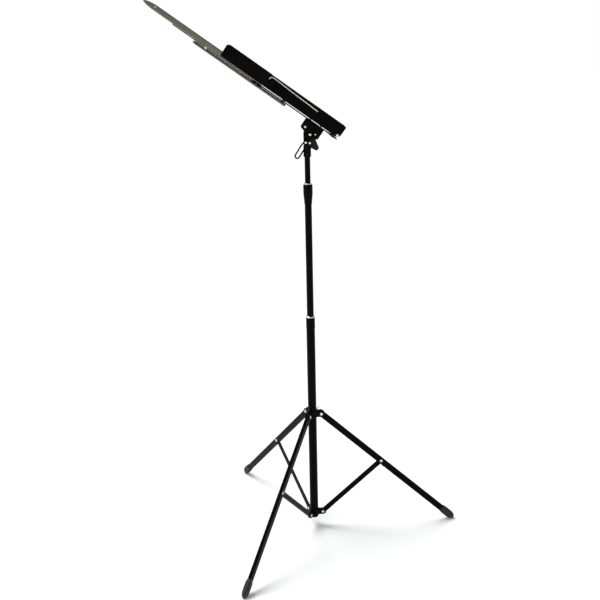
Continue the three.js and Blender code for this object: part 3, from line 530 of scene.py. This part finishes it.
def foot_shape():
    """A rubber cap, fuller towards its rounded end, with a beaded mouth."""
    start = leg_length - FOOT_LENGTH
    mouth_y, mouth_z = LEG_WIDTH / 2 + PLAY + 0.1, LEG_DEPTH / 2 + PLAY + 0.1
    half_y, half_z = FOOT_WIDTH / 2, FOOT_DEPTH / 2
    rows = [superellipse(start + 6, mouth_y, mouth_z, 6), superellipse(start + 0.5, mouth_y, mouth_z, 6)]
    stations = [(0.0, 0.74, 0.885), (0.4, 0.78, 0.905), (1.3, 0.80, 0.915), (2.3, 0.79, 0.91),
                (3.0, 0.82, 0.92), (4.4, 0.92, 0.965), (6.0, 0.98, 0.99), (9.0, 1.0, 1.0), (20.0, 1.0, 1.0)]
    rows += [superellipse(start + x, half_y * a, half_z * b, 3.0 + a) for x, a, b in stations]
    for k in range(1, 11):
        a = math.pi / 2 * k / 10
        x = leg_length - 6 + (half_z + 6) * math.sin(a)
        if k < 10:
            rows.append(superellipse(x, half_y * math.cos(a) ** 0.75, half_z * math.cos(a) ** 0.85, 3.6 - a))
    rows.append([(leg_length + half_z, 0, 0)])
    rows.insert(0, [(start + 6, 0, 0)])
    return rings_to_mesh(rows)


for place, azimuth in LEG_AZIMUTHS.items():
    sector = MAST @ turn(rad(azimuth), "Z")
    leg_at = sector @ shift(PIVOT_RADIUS, 0, UPPER_PIVOT) @ turn(math.pi / 2 - leg_angle, "Y")
    swap = Matrix(((0, 1, 0, 0), (1, 0, 0, 0), (0, 0, 1, 0), (0, 0, 0, 1)))
    leg, brace = f"leg_{place}", f"brace_{place}"
    piece(f"leg_channel_{place}", [(leg_shape(), swap)], leg_at, leg, "black_paint", [leg])
    reach = LEG_WIDTH / 2 + PLAY - 0.2
    pin = rivet([(-reach, 3.5, 1.5), (reach, 3.5, 1.5)], 2.2)
    piece(f"leg_rivet_head_{place}", [(pin, shift(link, 0, 0) @ ALONG_Y)], leg_at, leg, "nickel",
          [f"leg_rivet_{place}"])
    foot = foot_shape()
    to_floor = Matrix.Scale(0.001, 4) @ leg_at
    back = to_floor.inverted()
    for v in foot.verts:
        world = to_floor @ v.co
        if world.z < 0.0002:
            world.z = 0.0
            v.co = back @ world
    piece(f"foot_cap_{place}", [foot], leg_at, leg, "rubber", [f"foot_{place}"])
    brace_at = sector @ shift(PIVOT_RADIUS, 0, LOWER_PIVOT) @ turn(leg_angle - math.pi / 2, "Y")
    half = BRACE_DEPTH / 2
    bar = plate(arc(link, 0, half, -90, 90, 14) + arc(0, 0, half, 90, 270, 14), BRACE_WIDTH,
                [circle(0, 0, 2.4), circle(link, 0, 2.4)], 0.5)
    piece(f"brace_strip_{place}", [(bar, STANDING)], brace_at, brace, "black_paint", [brace])
    reach = BRACE_WIDTH / 2 + GAP + SPIDER_SHEET + 0.05
    pin = rivet([(-reach, 3.3, 1.4), (reach, 3.3, 1.4)], 2.2)
    piece(f"brace_rivet_head_{place}", [(pin, ALONG_Y)], brace_at, "lower_mast", "nickel",
          [f"brace_rivet_{place}"])


def spider_shapes(half_gap, bore):
    """Three curved sheets that clasp a sleeve and end in rounded ears. Where a
    sheet would cut into the bore, it is pressed into the sleeve's wall."""
    offset = half_gap + SPIDER_SHEET / 2
    rise = offset + SPIDER_BEND
    centre = Vector((rise * math.tan(rad(30)), rise))
    far = Vector((math.cos(rad(120)), math.sin(rad(120)))) * SPIDER_REACH
    far += Vector((math.cos(rad(30)), math.sin(rad(30)))) * offset
    path = [(SPIDER_REACH, offset)] + arc(centre.x, centre.y, SPIDER_BEND, 270, 210, 12) + [tuple(far)]
    total = path_length(path)
    half = SPIDER_HEIGHT / 2
    outline = fillet([(0, -half + 1.2, 5), (0, half - 1.2, 5), (8, half, 3), (total - 8, half, 3),
                      (total, half - 1.2, 5), (total, -half + 1.2, 5), (total - 8, -half, 3), (8, -half, 3)])
    shapes = []
    for azimuth in (0, 120, 240):
        sheet = folded(outline, path, SPIDER_SHEET, rim=0.3)
        sheet.transform(turn(rad(azimuth), "Z") @ turn(math.pi / 2, "X") @ Matrix.Scale(-1, 4, (0, 0, 1)))
        for v in sheet.verts:
            radius = math.hypot(v.co.x, v.co.y)
            if radius < bore + 1.2:
                push = (bore + 0.3 + 0.9 * radius / (bore + 1.2)) / radius
                v.co.x, v.co.y = v.co.x * push, v.co.y * push
        shapes.append(sheet)
    outer = bore + 2
    sleeve = [(bore, -half, 0.3), (outer, -half, 0.5), (outer, half, 0.5), (bore, half, 0.3)]
    return shapes + [turned(fillet(sleeve), 72, closed=True)]


spider_turn = turn(rad(LEG_AZIMUTHS["right"]), "Z")
upper_at = MAST @ shift(0, 0, UPPER_PIVOT) @ spider_turn
lower_at = MAST @ shift(0, 0, LOWER_PIVOT) @ spider_turn
piece("upper_spider_clasp", spider_shapes(LEG_WIDTH / 2 + GAP, LOWER["r"] + PLAY), upper_at,
      "upper_spider", "black_paint", ["upper_spider"])
piece("lower_spider_clasp", spider_shapes(BRACE_WIDTH / 2 + GAP, LOWER["r"] + 0.02), lower_at,
      "lower_mast", "black_paint", ["lower_spider"])
face = LEG_WIDTH / 2 + GAP + SPIDER_SHEET - 0.05
for k, place in enumerate(LEG_AZIMUTHS):
    pin = rivet([(-face, 3.5, 1.35), (face, 3.5, 1.35)], 2.1)
    piece(f"upper_spider_rivet_{place}", [(pin, shift(PIVOT_RADIUS, 0, 0) @ ALONG_Y)],
          upper_at @ turn(rad(120 * k), "Z"), "upper_spider", "nickel")

wing = fillet([(22, -3, 1), (26.5, -7.2, 2), (31.5, -8.2, 3), (34.2, -4.6, 2.6), (31, 0, 4),
               (34.2, 4.6, 2.6), (31.5, 8.2, 3), (26.5, 7.2, 2), (22, 3, 1)])
hub = turned([(0, 18), (2.9, 18), (3.4, 18.5), (3.4, 21), (3.0, 23.5), (2.2, 24), (0, 24)], 36)
thread = [(2.0 - 0.22 * (k % 2), 11.2 + 0.35 * k) for k in range(20)]
shank = turned([(0, 10.2), (1.6, 10.2), (2, 10.8)] + thread + [(2, 18.2), (0, 18.2)], 24)
piece("thumb_screw_wing", [(plate(wing, 2.4, rim=0.7), STANDING), (hub, ALONG_X), (shank, ALONG_X)],
      upper_at @ turn(rad(60), "Z"), "thumb_screw", "nickel", ["spider_thumb_screw"])

# ---- mast ---------------------------------------------------------------------
inner = LOWER["r"] - LOWER["wall"]
crimps = [(262, 488, 1.3, 0.7), (222, 488, 1.3, 0.7), (82, 488, 1.3, 0.7), (42, 488, 1.3, 0.7)]
stop = [(281, 304, 1.2, -0.45)]
foot, mouth = LOWER["bottom"], LOWER["top"]
outside = [(inner + 0.1, foot), (LOWER["r"] - 0.35, foot), (LOWER["r"], foot + 0.4), (LOWER["r"], 300)]
outside += [(LOWER["r"], z) for z in fine(304)] + [(LOWER["r"], 308), (LOWER["r"], SWAGE_Z)]
outside += [(LOWER["r"] + 0.4 * ease(t), SWAGE_Z + 4 * t) for t in (0.25, 0.5, 0.75, 1)]
outside += [(SWAGE_R, 482)] + [(SWAGE_R, z) for z in fine(488)] + [(SWAGE_R, 497)]
outside += arc(SWAGE_R - 0.7, mouth - 0.7, 0.7, 0, 90, 5) + [(inner, mouth), (inner, 470), (inner, foot)]
piece("lower_tube_drawn", [turned(outside, 120, closed=True, dents=crimps + stop)], MAST, "lower_mast",
      "black_paint", ["lower_tube"])
plug = fillet([(0, 21), (LOWER["r"] - 0.6, 21, 1.2), (LOWER["r"] - 0.1, 24.7, 0.4), (inner - 0.3, 24.7),
               (inner - 0.3, 34.6), (0, 34.6)], False)
piece("lower_tube_plug", [turned(plug, 72)], MAST, "lower_mast", "black_plastic", ["tube_end_plug"])


def plain_tube(spec):
    """A drawn tube with slightly rounded ends."""
    r, hole, a, b = spec["r"], spec["r"] - spec["wall"], spec["bottom"], spec["top"]
    wall = fillet([(hole, a, 0.1), (r, a, 0.3), (r, b, 0.4), (hole, b, 0.1)], steps=4)
    return turned(wall, 80, closed=True)


def bead(hole, r, bottom, height):
    """A turned ring with a full round outside and a small step under it."""
    half = height / 2
    path = [(hole, bottom + 0.1), (r - 0.9, bottom), (r - 0.45, bottom + 0.25)]
    path += arc(r - half * 0.62, bottom + half + 0.1, half * 0.62, -60, 75, 10)
    return turned(path + [(hole + 0.5, bottom + height), (hole, bottom + height - 0.4)], 80, closed=True)


piece("lower_collar_bead", [bead(MID["r"] + 0.1, 9.5, LOWER["top"] + 0.1, 3.1)], MAST, "lower_mast", "nickel",
      ["lower_clutch_ring"])
piece("mid_tube_drawn", [plain_tube(MID)], MAST, "mid_mast", "black_paint", ["mid_tube"])
piece("upper_collar_bead", [bead(TOP["r"] + 0.1, 8.2, SLEEVE["top"] + 0.1, 2.5)], MAST, "mid_mast", "nickel",
      ["upper_clutch_ring"])
hole, r = MID["r"] + 0.15, SLEEVE["r"]
low_z, high_z = SLEEVE["bottom"], SLEEVE["top"]
sleeve = [(hole, low_z + 0.2), (hole + 0.25, low_z), (hole + 0.6, low_z + 0.5)]
sleeve += [(hole + 0.6 + (r - hole - 0.6) * ease(t), low_z + 0.5 + 24 * t)
           for t in (0.08, 0.2, 0.32, 0.44, 0.56, 0.68, 0.8, 0.92, 1)]
sleeve += [(r, z) for z in fine(777)] + arc(r - 2.2, high_z - 2.4, 2.2, 0, 78, 7)
sleeve += [(7.2, high_z - 0.05), (6.2, high_z - 0.1)]
sleeve += [(6.15, 770.3), (hole, 770.2)]
crimps = [(258, 777, 1.2, 0.6), (301, 777, 1.2, 0.6), (78, 777, 1.2, 0.6), (121, 777, 1.2, 0.6)]
piece("upper_clutch_cone", [turned(sleeve, 120, closed=True, dents=crimps)], MAST, "mid_mast", "black_paint",
      ["upper_clutch_sleeve"])
piece("top_tube_drawn", [plain_tube(TOP)], MAST, "top_mast", "black_paint", ["top_tube"])

# ---- head ---------------------------------------------------------------------
tx, tz = TILT
cheek = fillet([(-FORK["neck"], COLLAR["bottom"] + 3, 3), (FORK["neck"], COLLAR["bottom"] + 3, 3),
                (FORK["neck"], tz - 7.4, 2)] + arc(tx, tz, FORK["r"], -70, 90, 16)
               + [(3 - FORK["neck"], tz + FORK["r"], 3), (-FORK["neck"], FORK["shoulder"], 3)])
cheek_y = FORK["half"] - FORK["sheet"] / 2
wall = COLLAR["r"] - TOP["r"] - 0.2
mid_r = COLLAR["r"] - wall / 2
clasp = arc(0, 0, mid_r, 190, 530, 44)
span = rad(340) * mid_r
strap = folded(fillet([(0, COLLAR["bottom"], 2), (span, COLLAR["bottom"], 2), (span, COLLAR["top"], 2),
                       (0, COLLAR["top"], 2)]), clasp, wall, rim=0.35)
upright = Matrix(((1, 0, 0, 0), (0, 0, 1, 0), (0, 1, 0, 0), (0, 0, 0, 1)))
piece("head_fork_clamp", [(plate(cheek, FORK["sheet"], rim=0.35), shift(0, -cheek_y, 0) @ STANDING),
                          (plate(cheek, FORK["sheet"], rim=0.35), shift(0, cheek_y, 0) @ STANDING),
                          (strap, upright)], MAST, "head", "black_paint", ["head_fork"])
reach = FORK["half"] + 0.05
pin = rivet([(-reach, 2.6, 1.2), (reach, 2.6, 1.2)], 1.8)
piece("fork_rivet_head", [(pin, shift(FORK_RIVET[0], 0, FORK_RIVET[1]) @ ALONG_Y)], MAST, "head", "nickel",
      ["fork_rivet"])
bolt_at = shift(tx, 0, tz) @ ALONG_Y
bolt_head = [(0, -13.6), (1.2, -13.55), (2.2, -13.3), (2.75, -12.7), (2.9, -12.25), (2.3, -12.2)]
bolt_end = [(2.3, 17.6), (2.0, 17.8), (1.9, 18.2), (0, 18.2)]
piece("tilt_bolt_shank", [(turned(bolt_head + bolt_end, 36), bolt_at)], MAST, "head", "nickel", ["tilt_bolt"])
washer = fillet([(2.4, -12.2, 0.2), (4.4, -12.2, 0.8), (5, -11.2, 0.5), (5, -9.8, 0.2), (2.4, -9.8, 0.2)])
piece("tilt_bolt_washer", [(turned(washer, 48, closed=True), bolt_at)], MAST, "head", "black_paint")

paddle = fillet(arc(0, 0, 6.5, 40, 200, 14) + arc(3.5, -24.5, 5.5, 190, 240, 5)
                + arc(12.5, -29.5, 5.5, 240, 400, 14))
near, far = KNOB_Y - KNOB_THICK / 2 + 0.05, KNOB_Y + KNOB_THICK / 2 - 0.05
boss = turned(fillet([(2.5, near, 0.2), (5.6, near, 0.5), (5.9, far, 0.8), (2.5, far, 0.3)]), 48, closed=True)
piece("tilt_knob_paddle", [(plate(paddle, KNOB_THICK - 0.1, rim=1.5), shift(tx, KNOB_Y, tz) @ STANDING),
                           (boss, bolt_at)], MAST, "tilt_knob", "black_plastic", ["tilt_knob"])

half, length = LOOP["half"], LOOP["length"]
bail = [(-half + 1.4, 0, -1.5), (-half, 0, -9), (-half, 0, -18), (-half, 0, -length + 9)]
bail += [(half * math.cos(rad(a)), 0, -length + half + half * math.sin(rad(a))) for a in range(180, 361, 20)]
bail += [(half, 0, -length + 9), (half, 0, -18), (half, 0, -9), (half - 1.4, 0, -1.5)]
lever_at = shift(PINCH[0], LOOP["y"], PINCH[1]) @ turn(rad(LOOP["turn"]), "Y")
boss = turned(fillet([(1.9, -1.8, 0.2), (4.4, -1.8, 0.7), (4.4, 1.8, 0.7), (1.9, 1.8, 0.2)]), 48, closed=True)
piece("loop_lever_bail", [tube_along(smooth_path(bail), LOOP["r"]), (boss, ALONG_Y)],
      MAST @ lever_at, "loop_lever", "black_paint", ["loop_lever"])
outer = LOOP["y"] - 1.8 - 0.2
screw = rivet([(outer, 2.5, 1.25), (FORK["half"] + 0.2, 2.9, 2.2)], 1.7)
piece("pinch_screw_head", [(screw, shift(PINCH[0], 0, PINCH[1]) @ ALONG_Y)], MAST, "loop_lever", "nickel",
      ["pinch_screw"])

# ---- desk ---------------------------------------------------------------------
across = Vector((0, 1, 0))
up_slope = Vector((-math.cos(SLOPE), 0, math.sin(SLOPE)))
outward = Vector((math.sin(SLOPE), 0, math.cos(SLOPE)))
DESK = Matrix((across, up_slope, outward)).transposed().to_4x4()
DESK.translation = Vector((tx, 0, tz)) - up_slope * DESK_V - outward * DESK_W
DESK = MAST @ DESK
STAND = Matrix(((0, 0, 1, 0), (1, 0, 0, 0), (0, 1, 0, 0), (0, 0, 0, 1)))

side = [(EAR, -6, 3), (EAR, 7, 4), (SPINE_HALF, 14, 7), (SPINE_HALF, SPACING - 14, 7),
        (EAR, SPACING - 6.5, 4), (EAR, SPACING + 6.5, 4), (SPINE_HALF, SPACING + 14, 7)]
outline = [(EAR - 6, -11, 3)] + side + arc(0, SPINE_TOP - SPINE_HALF, SPINE_HALF, 0, 180, 16)
outline += [(-x, y, r) for x, y, r in reversed(side)] + [(-EAR + 6, -11, 3)]
piece("desk_spine", [plate(fillet(outline), 2.0, rim=0.35)], DESK, "desk", "black_paint", ["spine"])

face, low_w = -1.3, -31.0
edge = [(BRACKET["top"], face), (BRACKET["top"], -21.6, 2.5), (55, -24, 2)]
edge += arc(DESK_V, DESK_W, 9, -35, -132, 10) + [(26, -27, 2), (20, -22.6, 3), (BRACKET["bottom"], face)]
edge = [(w, v) for v, w in fillet(edge, False)]
web_u, web_w = BRACKET["half"] - 0.65, face - 0.65
path = fillet([(-web_u, low_w), (-web_u, web_w, 1.5), (web_u, web_w, 1.5), (web_u, low_w)], False)
total = path_length(path)
near = [(w - low_w, v) for w, v in edge]
far = [(total - s, v) for s, v in reversed(near)]
trim = lambda pts: [(s, v) for s, v in pts if min(s, total - s) < face - low_w - 0.4]
shape = folded(trim(near) + trim(far), path, BRACKET["sheet"], rim=0.3)
piece("desk_bracket_fold", [shape], DESK, "desk", "black_paint", ["desk_bracket"])
for name, v in (("lower", 30), ("upper", 56)):
    pin = rivet([(face - 1.3 - 0.1, 3.6, 1.4), (1.05, 3.6, 1.4)], 2)
    piece(f"bracket_rivet_head_{name}", [(pin, shift(0, v, 0))], DESK, "desk", "nickel",
          [f"bracket_rivet_{name}"])
for name, v, w, r in (("lower", 30, -17, 1.7), ("upper", 56, -16, 2.5)):
    reach = BRACKET["half"] + 0.05
    pin = rivet([(-reach, r, 1.2), (reach, r, 1.2)], 1.6)
    piece(f"bracket_cross_pin_{name}", [(pin, shift(0, v, w) @ ALONG_X)], DESK, "desk", "nickel",
          [f"bracket_cross_rivet_{name}"])


def ledge_arm_shape():
    """A folded channel with a lip in front and a rounded root."""
    back, front, sheet = LEDGE["back"] + 0.75, LEDGE["front"] - 0.75, LEDGE["sheet"]
    outer = PIVOT_U + 8 - 0.75
    path = fillet([(PIVOT_U - 8, back), (outer, back, 1.9), (outer, front, 1.9),
                   (PIVOT_U + 8 - LEDGE["lip"], front)], False)
    total = path_length(path)
    a, b = LEDGE["start"], LEDGE["end"]
    bend = outer - (PIVOT_U - 8)
    root = arc(bend + ROOT_ROUND - 0.75, a + ROOT_ROUND, ROOT_ROUND, 193, 270, 8)
    outline = fillet([(0, a + 7, 3)] + root + [(total, a, 2.5), (total, b, 2.5), (0, b, 5)])
    return folded(outline, path, sheet, rim=0.35)


def channel_shape(spec, low_v, high_v, outline_low, outline_high, warp, cuts, holes=()):
    """A strip channel whose cheeks run from its open side to its web. The
    outlines give how far each end is cut back, by the depth in the cheek."""
    mid, open_w, web_w = spec["half"] - spec["wall"] / 2, spec["open"], spec["web"]
    path = fillet([(-mid, open_w), (-mid, web_w, 1.3), (mid, web_w, 1.3), (mid, open_w)], False)
    total = path_length(path)
    deep = abs(open_w - web_w)
    left_low = [(s, low_v + d) for s, d in outline_low if s < deep]
    left_high = [(s, high_v - d) for s, d in outline_high if s < deep]
    outline = left_low + [(total - s, v) for s, v in reversed(left_low)]
    outline += [(total - s, v) for s, v in left_high] + list(reversed(left_high))
    rings = []
    for s, v, r in holes:
        rings += [circle(s, v, r), circle(total - s, v, r)]
    return folded(outline, path, spec["wall"], rings, 0.22, warp, cuts)


def beak(x, z, t):
    """Draws the upper arm's end in to a rounded point."""
    k = min(max((t - (ARM_TIP - 25)) / 25, 0), 1)
    narrow = math.sqrt(max(0.0, 1 - 0.93 * k ** 1.7))
    return x * (0.25 + 0.75 * narrow), 6.6 + (z - 6.6) * (0.16 + 0.84 * narrow ** 1.3)


def upper_arm_shape():
    """A channel open to the front, rounded at its pivot and beaked at its tip."""
    rounded = [(6 - 6 * math.cos(rad(a)), 8 - 8 * math.sin(rad(a))) for a in range(0, 91, 10)]
    cuts = [ARM_TIP - 2 * k for k in range(1, 14)]
    return channel_shape(ARM, SPACING - ARM["end"], ARM_TIP, rounded + [(9.3, 0)], [(0, 0), (9.3, 0)],
                         beak, cuts, [(4.4, ARM_TIP - 10, 1.8)])


def side_bar_shape():
    """A shallow channel open to the back, narrowed at its top end."""
    tip = REACH + SPACING + BAR["high"]

    def nose(x, z, t):
        k = min(max((t - (tip - 12)) / 12, 0), 1)
        return x * (1 - 0.55 * k * k), z + 0.6 * k * k if z < -3.5 else z

    rounded = [(3 - 3 * math.cos(rad(a)), 3 - 3 * math.sin(rad(a))) for a in range(0, 91, 15)]
    cuts = [tip - 2 * k for k in range(1, 7)]
    return channel_shape(BAR, REACH - BAR["low"], tip, rounded, rounded, nose, cuts)


def page_wire_path():
    """The wire's centre line: an eye round the leaf rivet, a bend out in front,
    then back along the ledge towards its root."""
    v0, w0 = LEAF_PIVOT
    points = [(v0 + 3.5 * math.cos(rad(a)), w0 + 3.5 * math.sin(rad(a))) for a in range(150, 391, 20)]
    points += [(v0 + 3.6, 22), (v0 + 2, 26.2), (v0 - 2, 28.2), (v0 - 10, 28)]
    points += [(130, 26.9), (110, 26), (80, 25), (58, 24.2), (53, 24)]
    return smooth_path([(WIRE_U, v, w) for v, w in points])


for hand, sign in (("left", -1), ("right", 1)):
    flip = DESK @ Matrix.Diagonal((sign, 1, 1, 1))
    at_pivot = shift(PIVOT_U, 0, 0)
    arm, bar, top = f"ledge_arm_{hand}", f"side_bar_{hand}", f"upper_arm_{hand}"
    piece(f"ledge_arm_fold_{hand}", [ledge_arm_shape()], flip, arm, "black_paint", [arm])
    pin = rivet([(PIVOT_U + 6.45, 2.3, 0.8), (PIVOT_U + 8.05, 2.6, 1.1)], 1.4)
    piece(f"ledge_root_rivet_{hand}", [(pin, shift(0, *ROOT_RIVET) @ ALONG_X)], flip, arm, "nickel")
    outline = fillet([(LEAF["start"], LEAF["back"], 7), (LEAF["end"], LEAF["back"], 3),
                      (LEAF["end"], LEAF["front"], 3.5), (LEAF["start"] + 3, LEAF["front"], 12)])
    leaf = plate(outline, LEAF["sheet"], rim=0.35)
    # The leaf takes the paler, warmer enamel copy, a painted reflection.
    piece(f"ledge_leaf_plate_{hand}", [(leaf, shift(PIVOT_U + 8.3 + 0.7, 0, 0) @ STAND)], flip,
          f"ledge_leaf_{hand}", "black_paint", [f"ledge_leaf_{hand}"], "black_paint_painted_reflection")
    inside, outside_u = PIVOT_U + 8 - 1.5 - 0.15, WIRE_U + 1.15
    pin = rivet([(inside, 3.4, 1.3), (outside_u, 5.4, 1.25)], 2)
    piece(f"leaf_rivet_head_{hand}", [(pin, shift(0, *LEAF_PIVOT) @ ALONG_X)], flip, arm, "black_paint",
          [f"leaf_rivet_{hand}"])
    page_wire = f"page_wire_{hand}"
    piece(f"page_wire_bent_{hand}", [tube_along(page_wire_path(), 0.95, 14)], flip, page_wire, "nickel",
          [page_wire])
    piece(f"upper_arm_channel_{hand}", [(upper_arm_shape(), at_pivot)], flip, top, "nickel_strip", [top])
    piece(f"side_bar_channel_{hand}", [(side_bar_shape(), at_pivot)], flip, bar, "nickel_strip", [bar])
    under = [(r, 2 * -1.15 - z) for r, z in reversed(dome(4.3, 1.1, -1.15))]
    spacer = [(2.5, -1.15), (2.5, 1.1), (4.4, 1.2), (4.4, 3.1), (2.5, 3.1), (2.5, 4.9)]
    pin = turned(under + spacer + dome(4.4, 1.35, 4.95), 40)
    # The ledge pivot takes the darkened nickel copy: painted shade.
    piece(f"ledge_pivot_rivet_{hand}", [(pin, at_pivot)], flip, "desk", "nickel", [f"ledge_pivot_{hand}"],
          "nickel_painted_shade")
    pin = rivet([(-1.15, 3.6, 1.1), (2.6, 3.6, 1.3)], 2.2)
    piece(f"upper_pivot_rivet_{hand}", [(pin, shift(PIVOT_U, SPACING, 0))], flip, "desk", "nickel",
          [f"upper_pivot_{hand}"])
    ends = (("lower", REACH, 3.3, 1.5, arm), ("upper", REACH + SPACING, 1.3, 1.2, top))
    for end, v, seat, sheet, body in ends:
        under = [(r, 2 * -3.8 - z) for r, z in reversed(dome(3.2, 1.3, -3.8))]
        spacer = [(2.2, -3.8), (2.2, -2.35), (3.6, -2.3), (3.6, seat - 0.2), (2.2, seat - 0.15),
                  (2.2, seat + sheet)]
        pin = turned(under + spacer + dome(3.6, 1.35, seat + sheet + 0.1), 36)
        # The lower side-bar rivet takes the darkened nickel copy: painted shade.
        piece(f"side_bar_rivet_{end}_{hand}", [(pin, shift(PIVOT_U, v, 0))], flip, body, "nickel",
              [f"side_bar_{end}_rivet_{hand}"], "nickel_painted_shade" if end == "lower" else None)
    pin = rivet([(-6.02, 1.5, 0.7), (6.02, 1.5, 0.7)], 1.0)
    piece(f"upper_arm_stud_{hand}", [(pin, shift(PIVOT_U, ARM_TIP - 27, 9.2) @ ALONG_X)], flip, top, "nickel")

for node in ("lower_clutch_bush", "mid_tube_guide", "upper_clutch_bush"):
    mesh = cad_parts[node].data
    mesh.materials.clear()
    mesh.materials.append(LOOKS["black_plastic"])

# ---- floor, light and camera ----------------------------------------------------
floor_mesh = bpy.data.meshes.new("studio_floor")
floor_mesh.from_pydata([(-30, -30, 0), (30, -30, 0), (30, 30, 0), (-30, 30, 0)], [], [(0, 1, 2, 3)])
floor = bpy.data.objects.new("studio_floor", floor_mesh)
scene.collection.objects.link(floor)
paper = Shader("pale_floor", Roughness=0.95, Specular_IOR_Level=0.0)
paper.link("Base Color", paper.mix(paper.noise(3, 3), (0.96, 0.96, 0.96), (0.95, 0.95, 0.95)))
floor_mesh.materials.append(paper.material)

world = bpy.data.worlds.new("studio")
scene.world = world
world.use_nodes = True
nodes, links = world.node_tree.nodes, world.node_tree.links
shown, sent = nodes["Background"], nodes.new("ShaderNodeBackground")
shown.inputs[0].default_value = (1, 1, 1, 1)
shown.inputs[1].default_value = 1.0
sent.inputs[0].default_value = (0.97, 0.985, 1.0, 1)
sent.inputs[1].default_value = 0.38
seen = nodes.new("ShaderNodeLightPath")
blend = nodes.new("ShaderNodeMixShader")
links.new(seen.outputs["Is Camera Ray"], blend.inputs[0])
links.new(sent.outputs[0], blend.inputs[1])
links.new(shown.outputs[0], blend.inputs[2])
links.new(blend.outputs[0], nodes["World Output"].inputs[0])


def light(name, kind, energy, position, target, **settings):
    """A lamp at a place in metres, aimed at the target."""
    data = bpy.data.lights.new(name, kind)
    data.energy = energy
    for key, value in settings.items():
        setattr(data, key, value)
    obj = bpy.data.objects.new(name, data)
    obj.location = position
    obj.rotation_euler = (Vector(target) - Vector(position)).to_track_quat("-Z", "Y").to_euler()
    scene.collection.objects.link(obj)


light("soft_sun", "SUN", 2.6, (-1.0, 0.75, 2.2), (0, 0, 0), angle=rad(34))
light("left_softbox", "AREA", 20, (-2.3, -1.3, 1.5), (0, 0, 0.55), shape="RECTANGLE", size=1.0, size_y=1.6)
light("front_strip", "AREA", 5, (0.9, -2.4, 1.5), (0, 0, 0.8), shape="RECTANGLE", size=0.25, size_y=1.2)

pitch, roll = rad(15.49), rad(-1.31)
ahead = Vector((0, math.cos(pitch), -math.sin(pitch)))
level, lift = Vector((1, 0, 0)), Vector((0, math.sin(pitch), math.cos(pitch)))
right = math.cos(roll) * level + math.sin(roll) * lift
upwards = -math.sin(roll) * level + math.cos(roll) * lift
lens = bpy.data.cameras.new("camera")
lens.sensor_width = 36
lens.lens = 52.89
camera = bpy.data.objects.new("camera", lens)
pose = Matrix((right, upwards, -ahead)).transposed().to_4x4()
pose.translation = Vector((-0.0218, -1.8319, 1.0472)) + MAST.translation * 0.001
camera.matrix_world = pose
scene.collection.objects.link(camera)
scene.camera = camera
scene.view_settings.view_transform = "Standard"
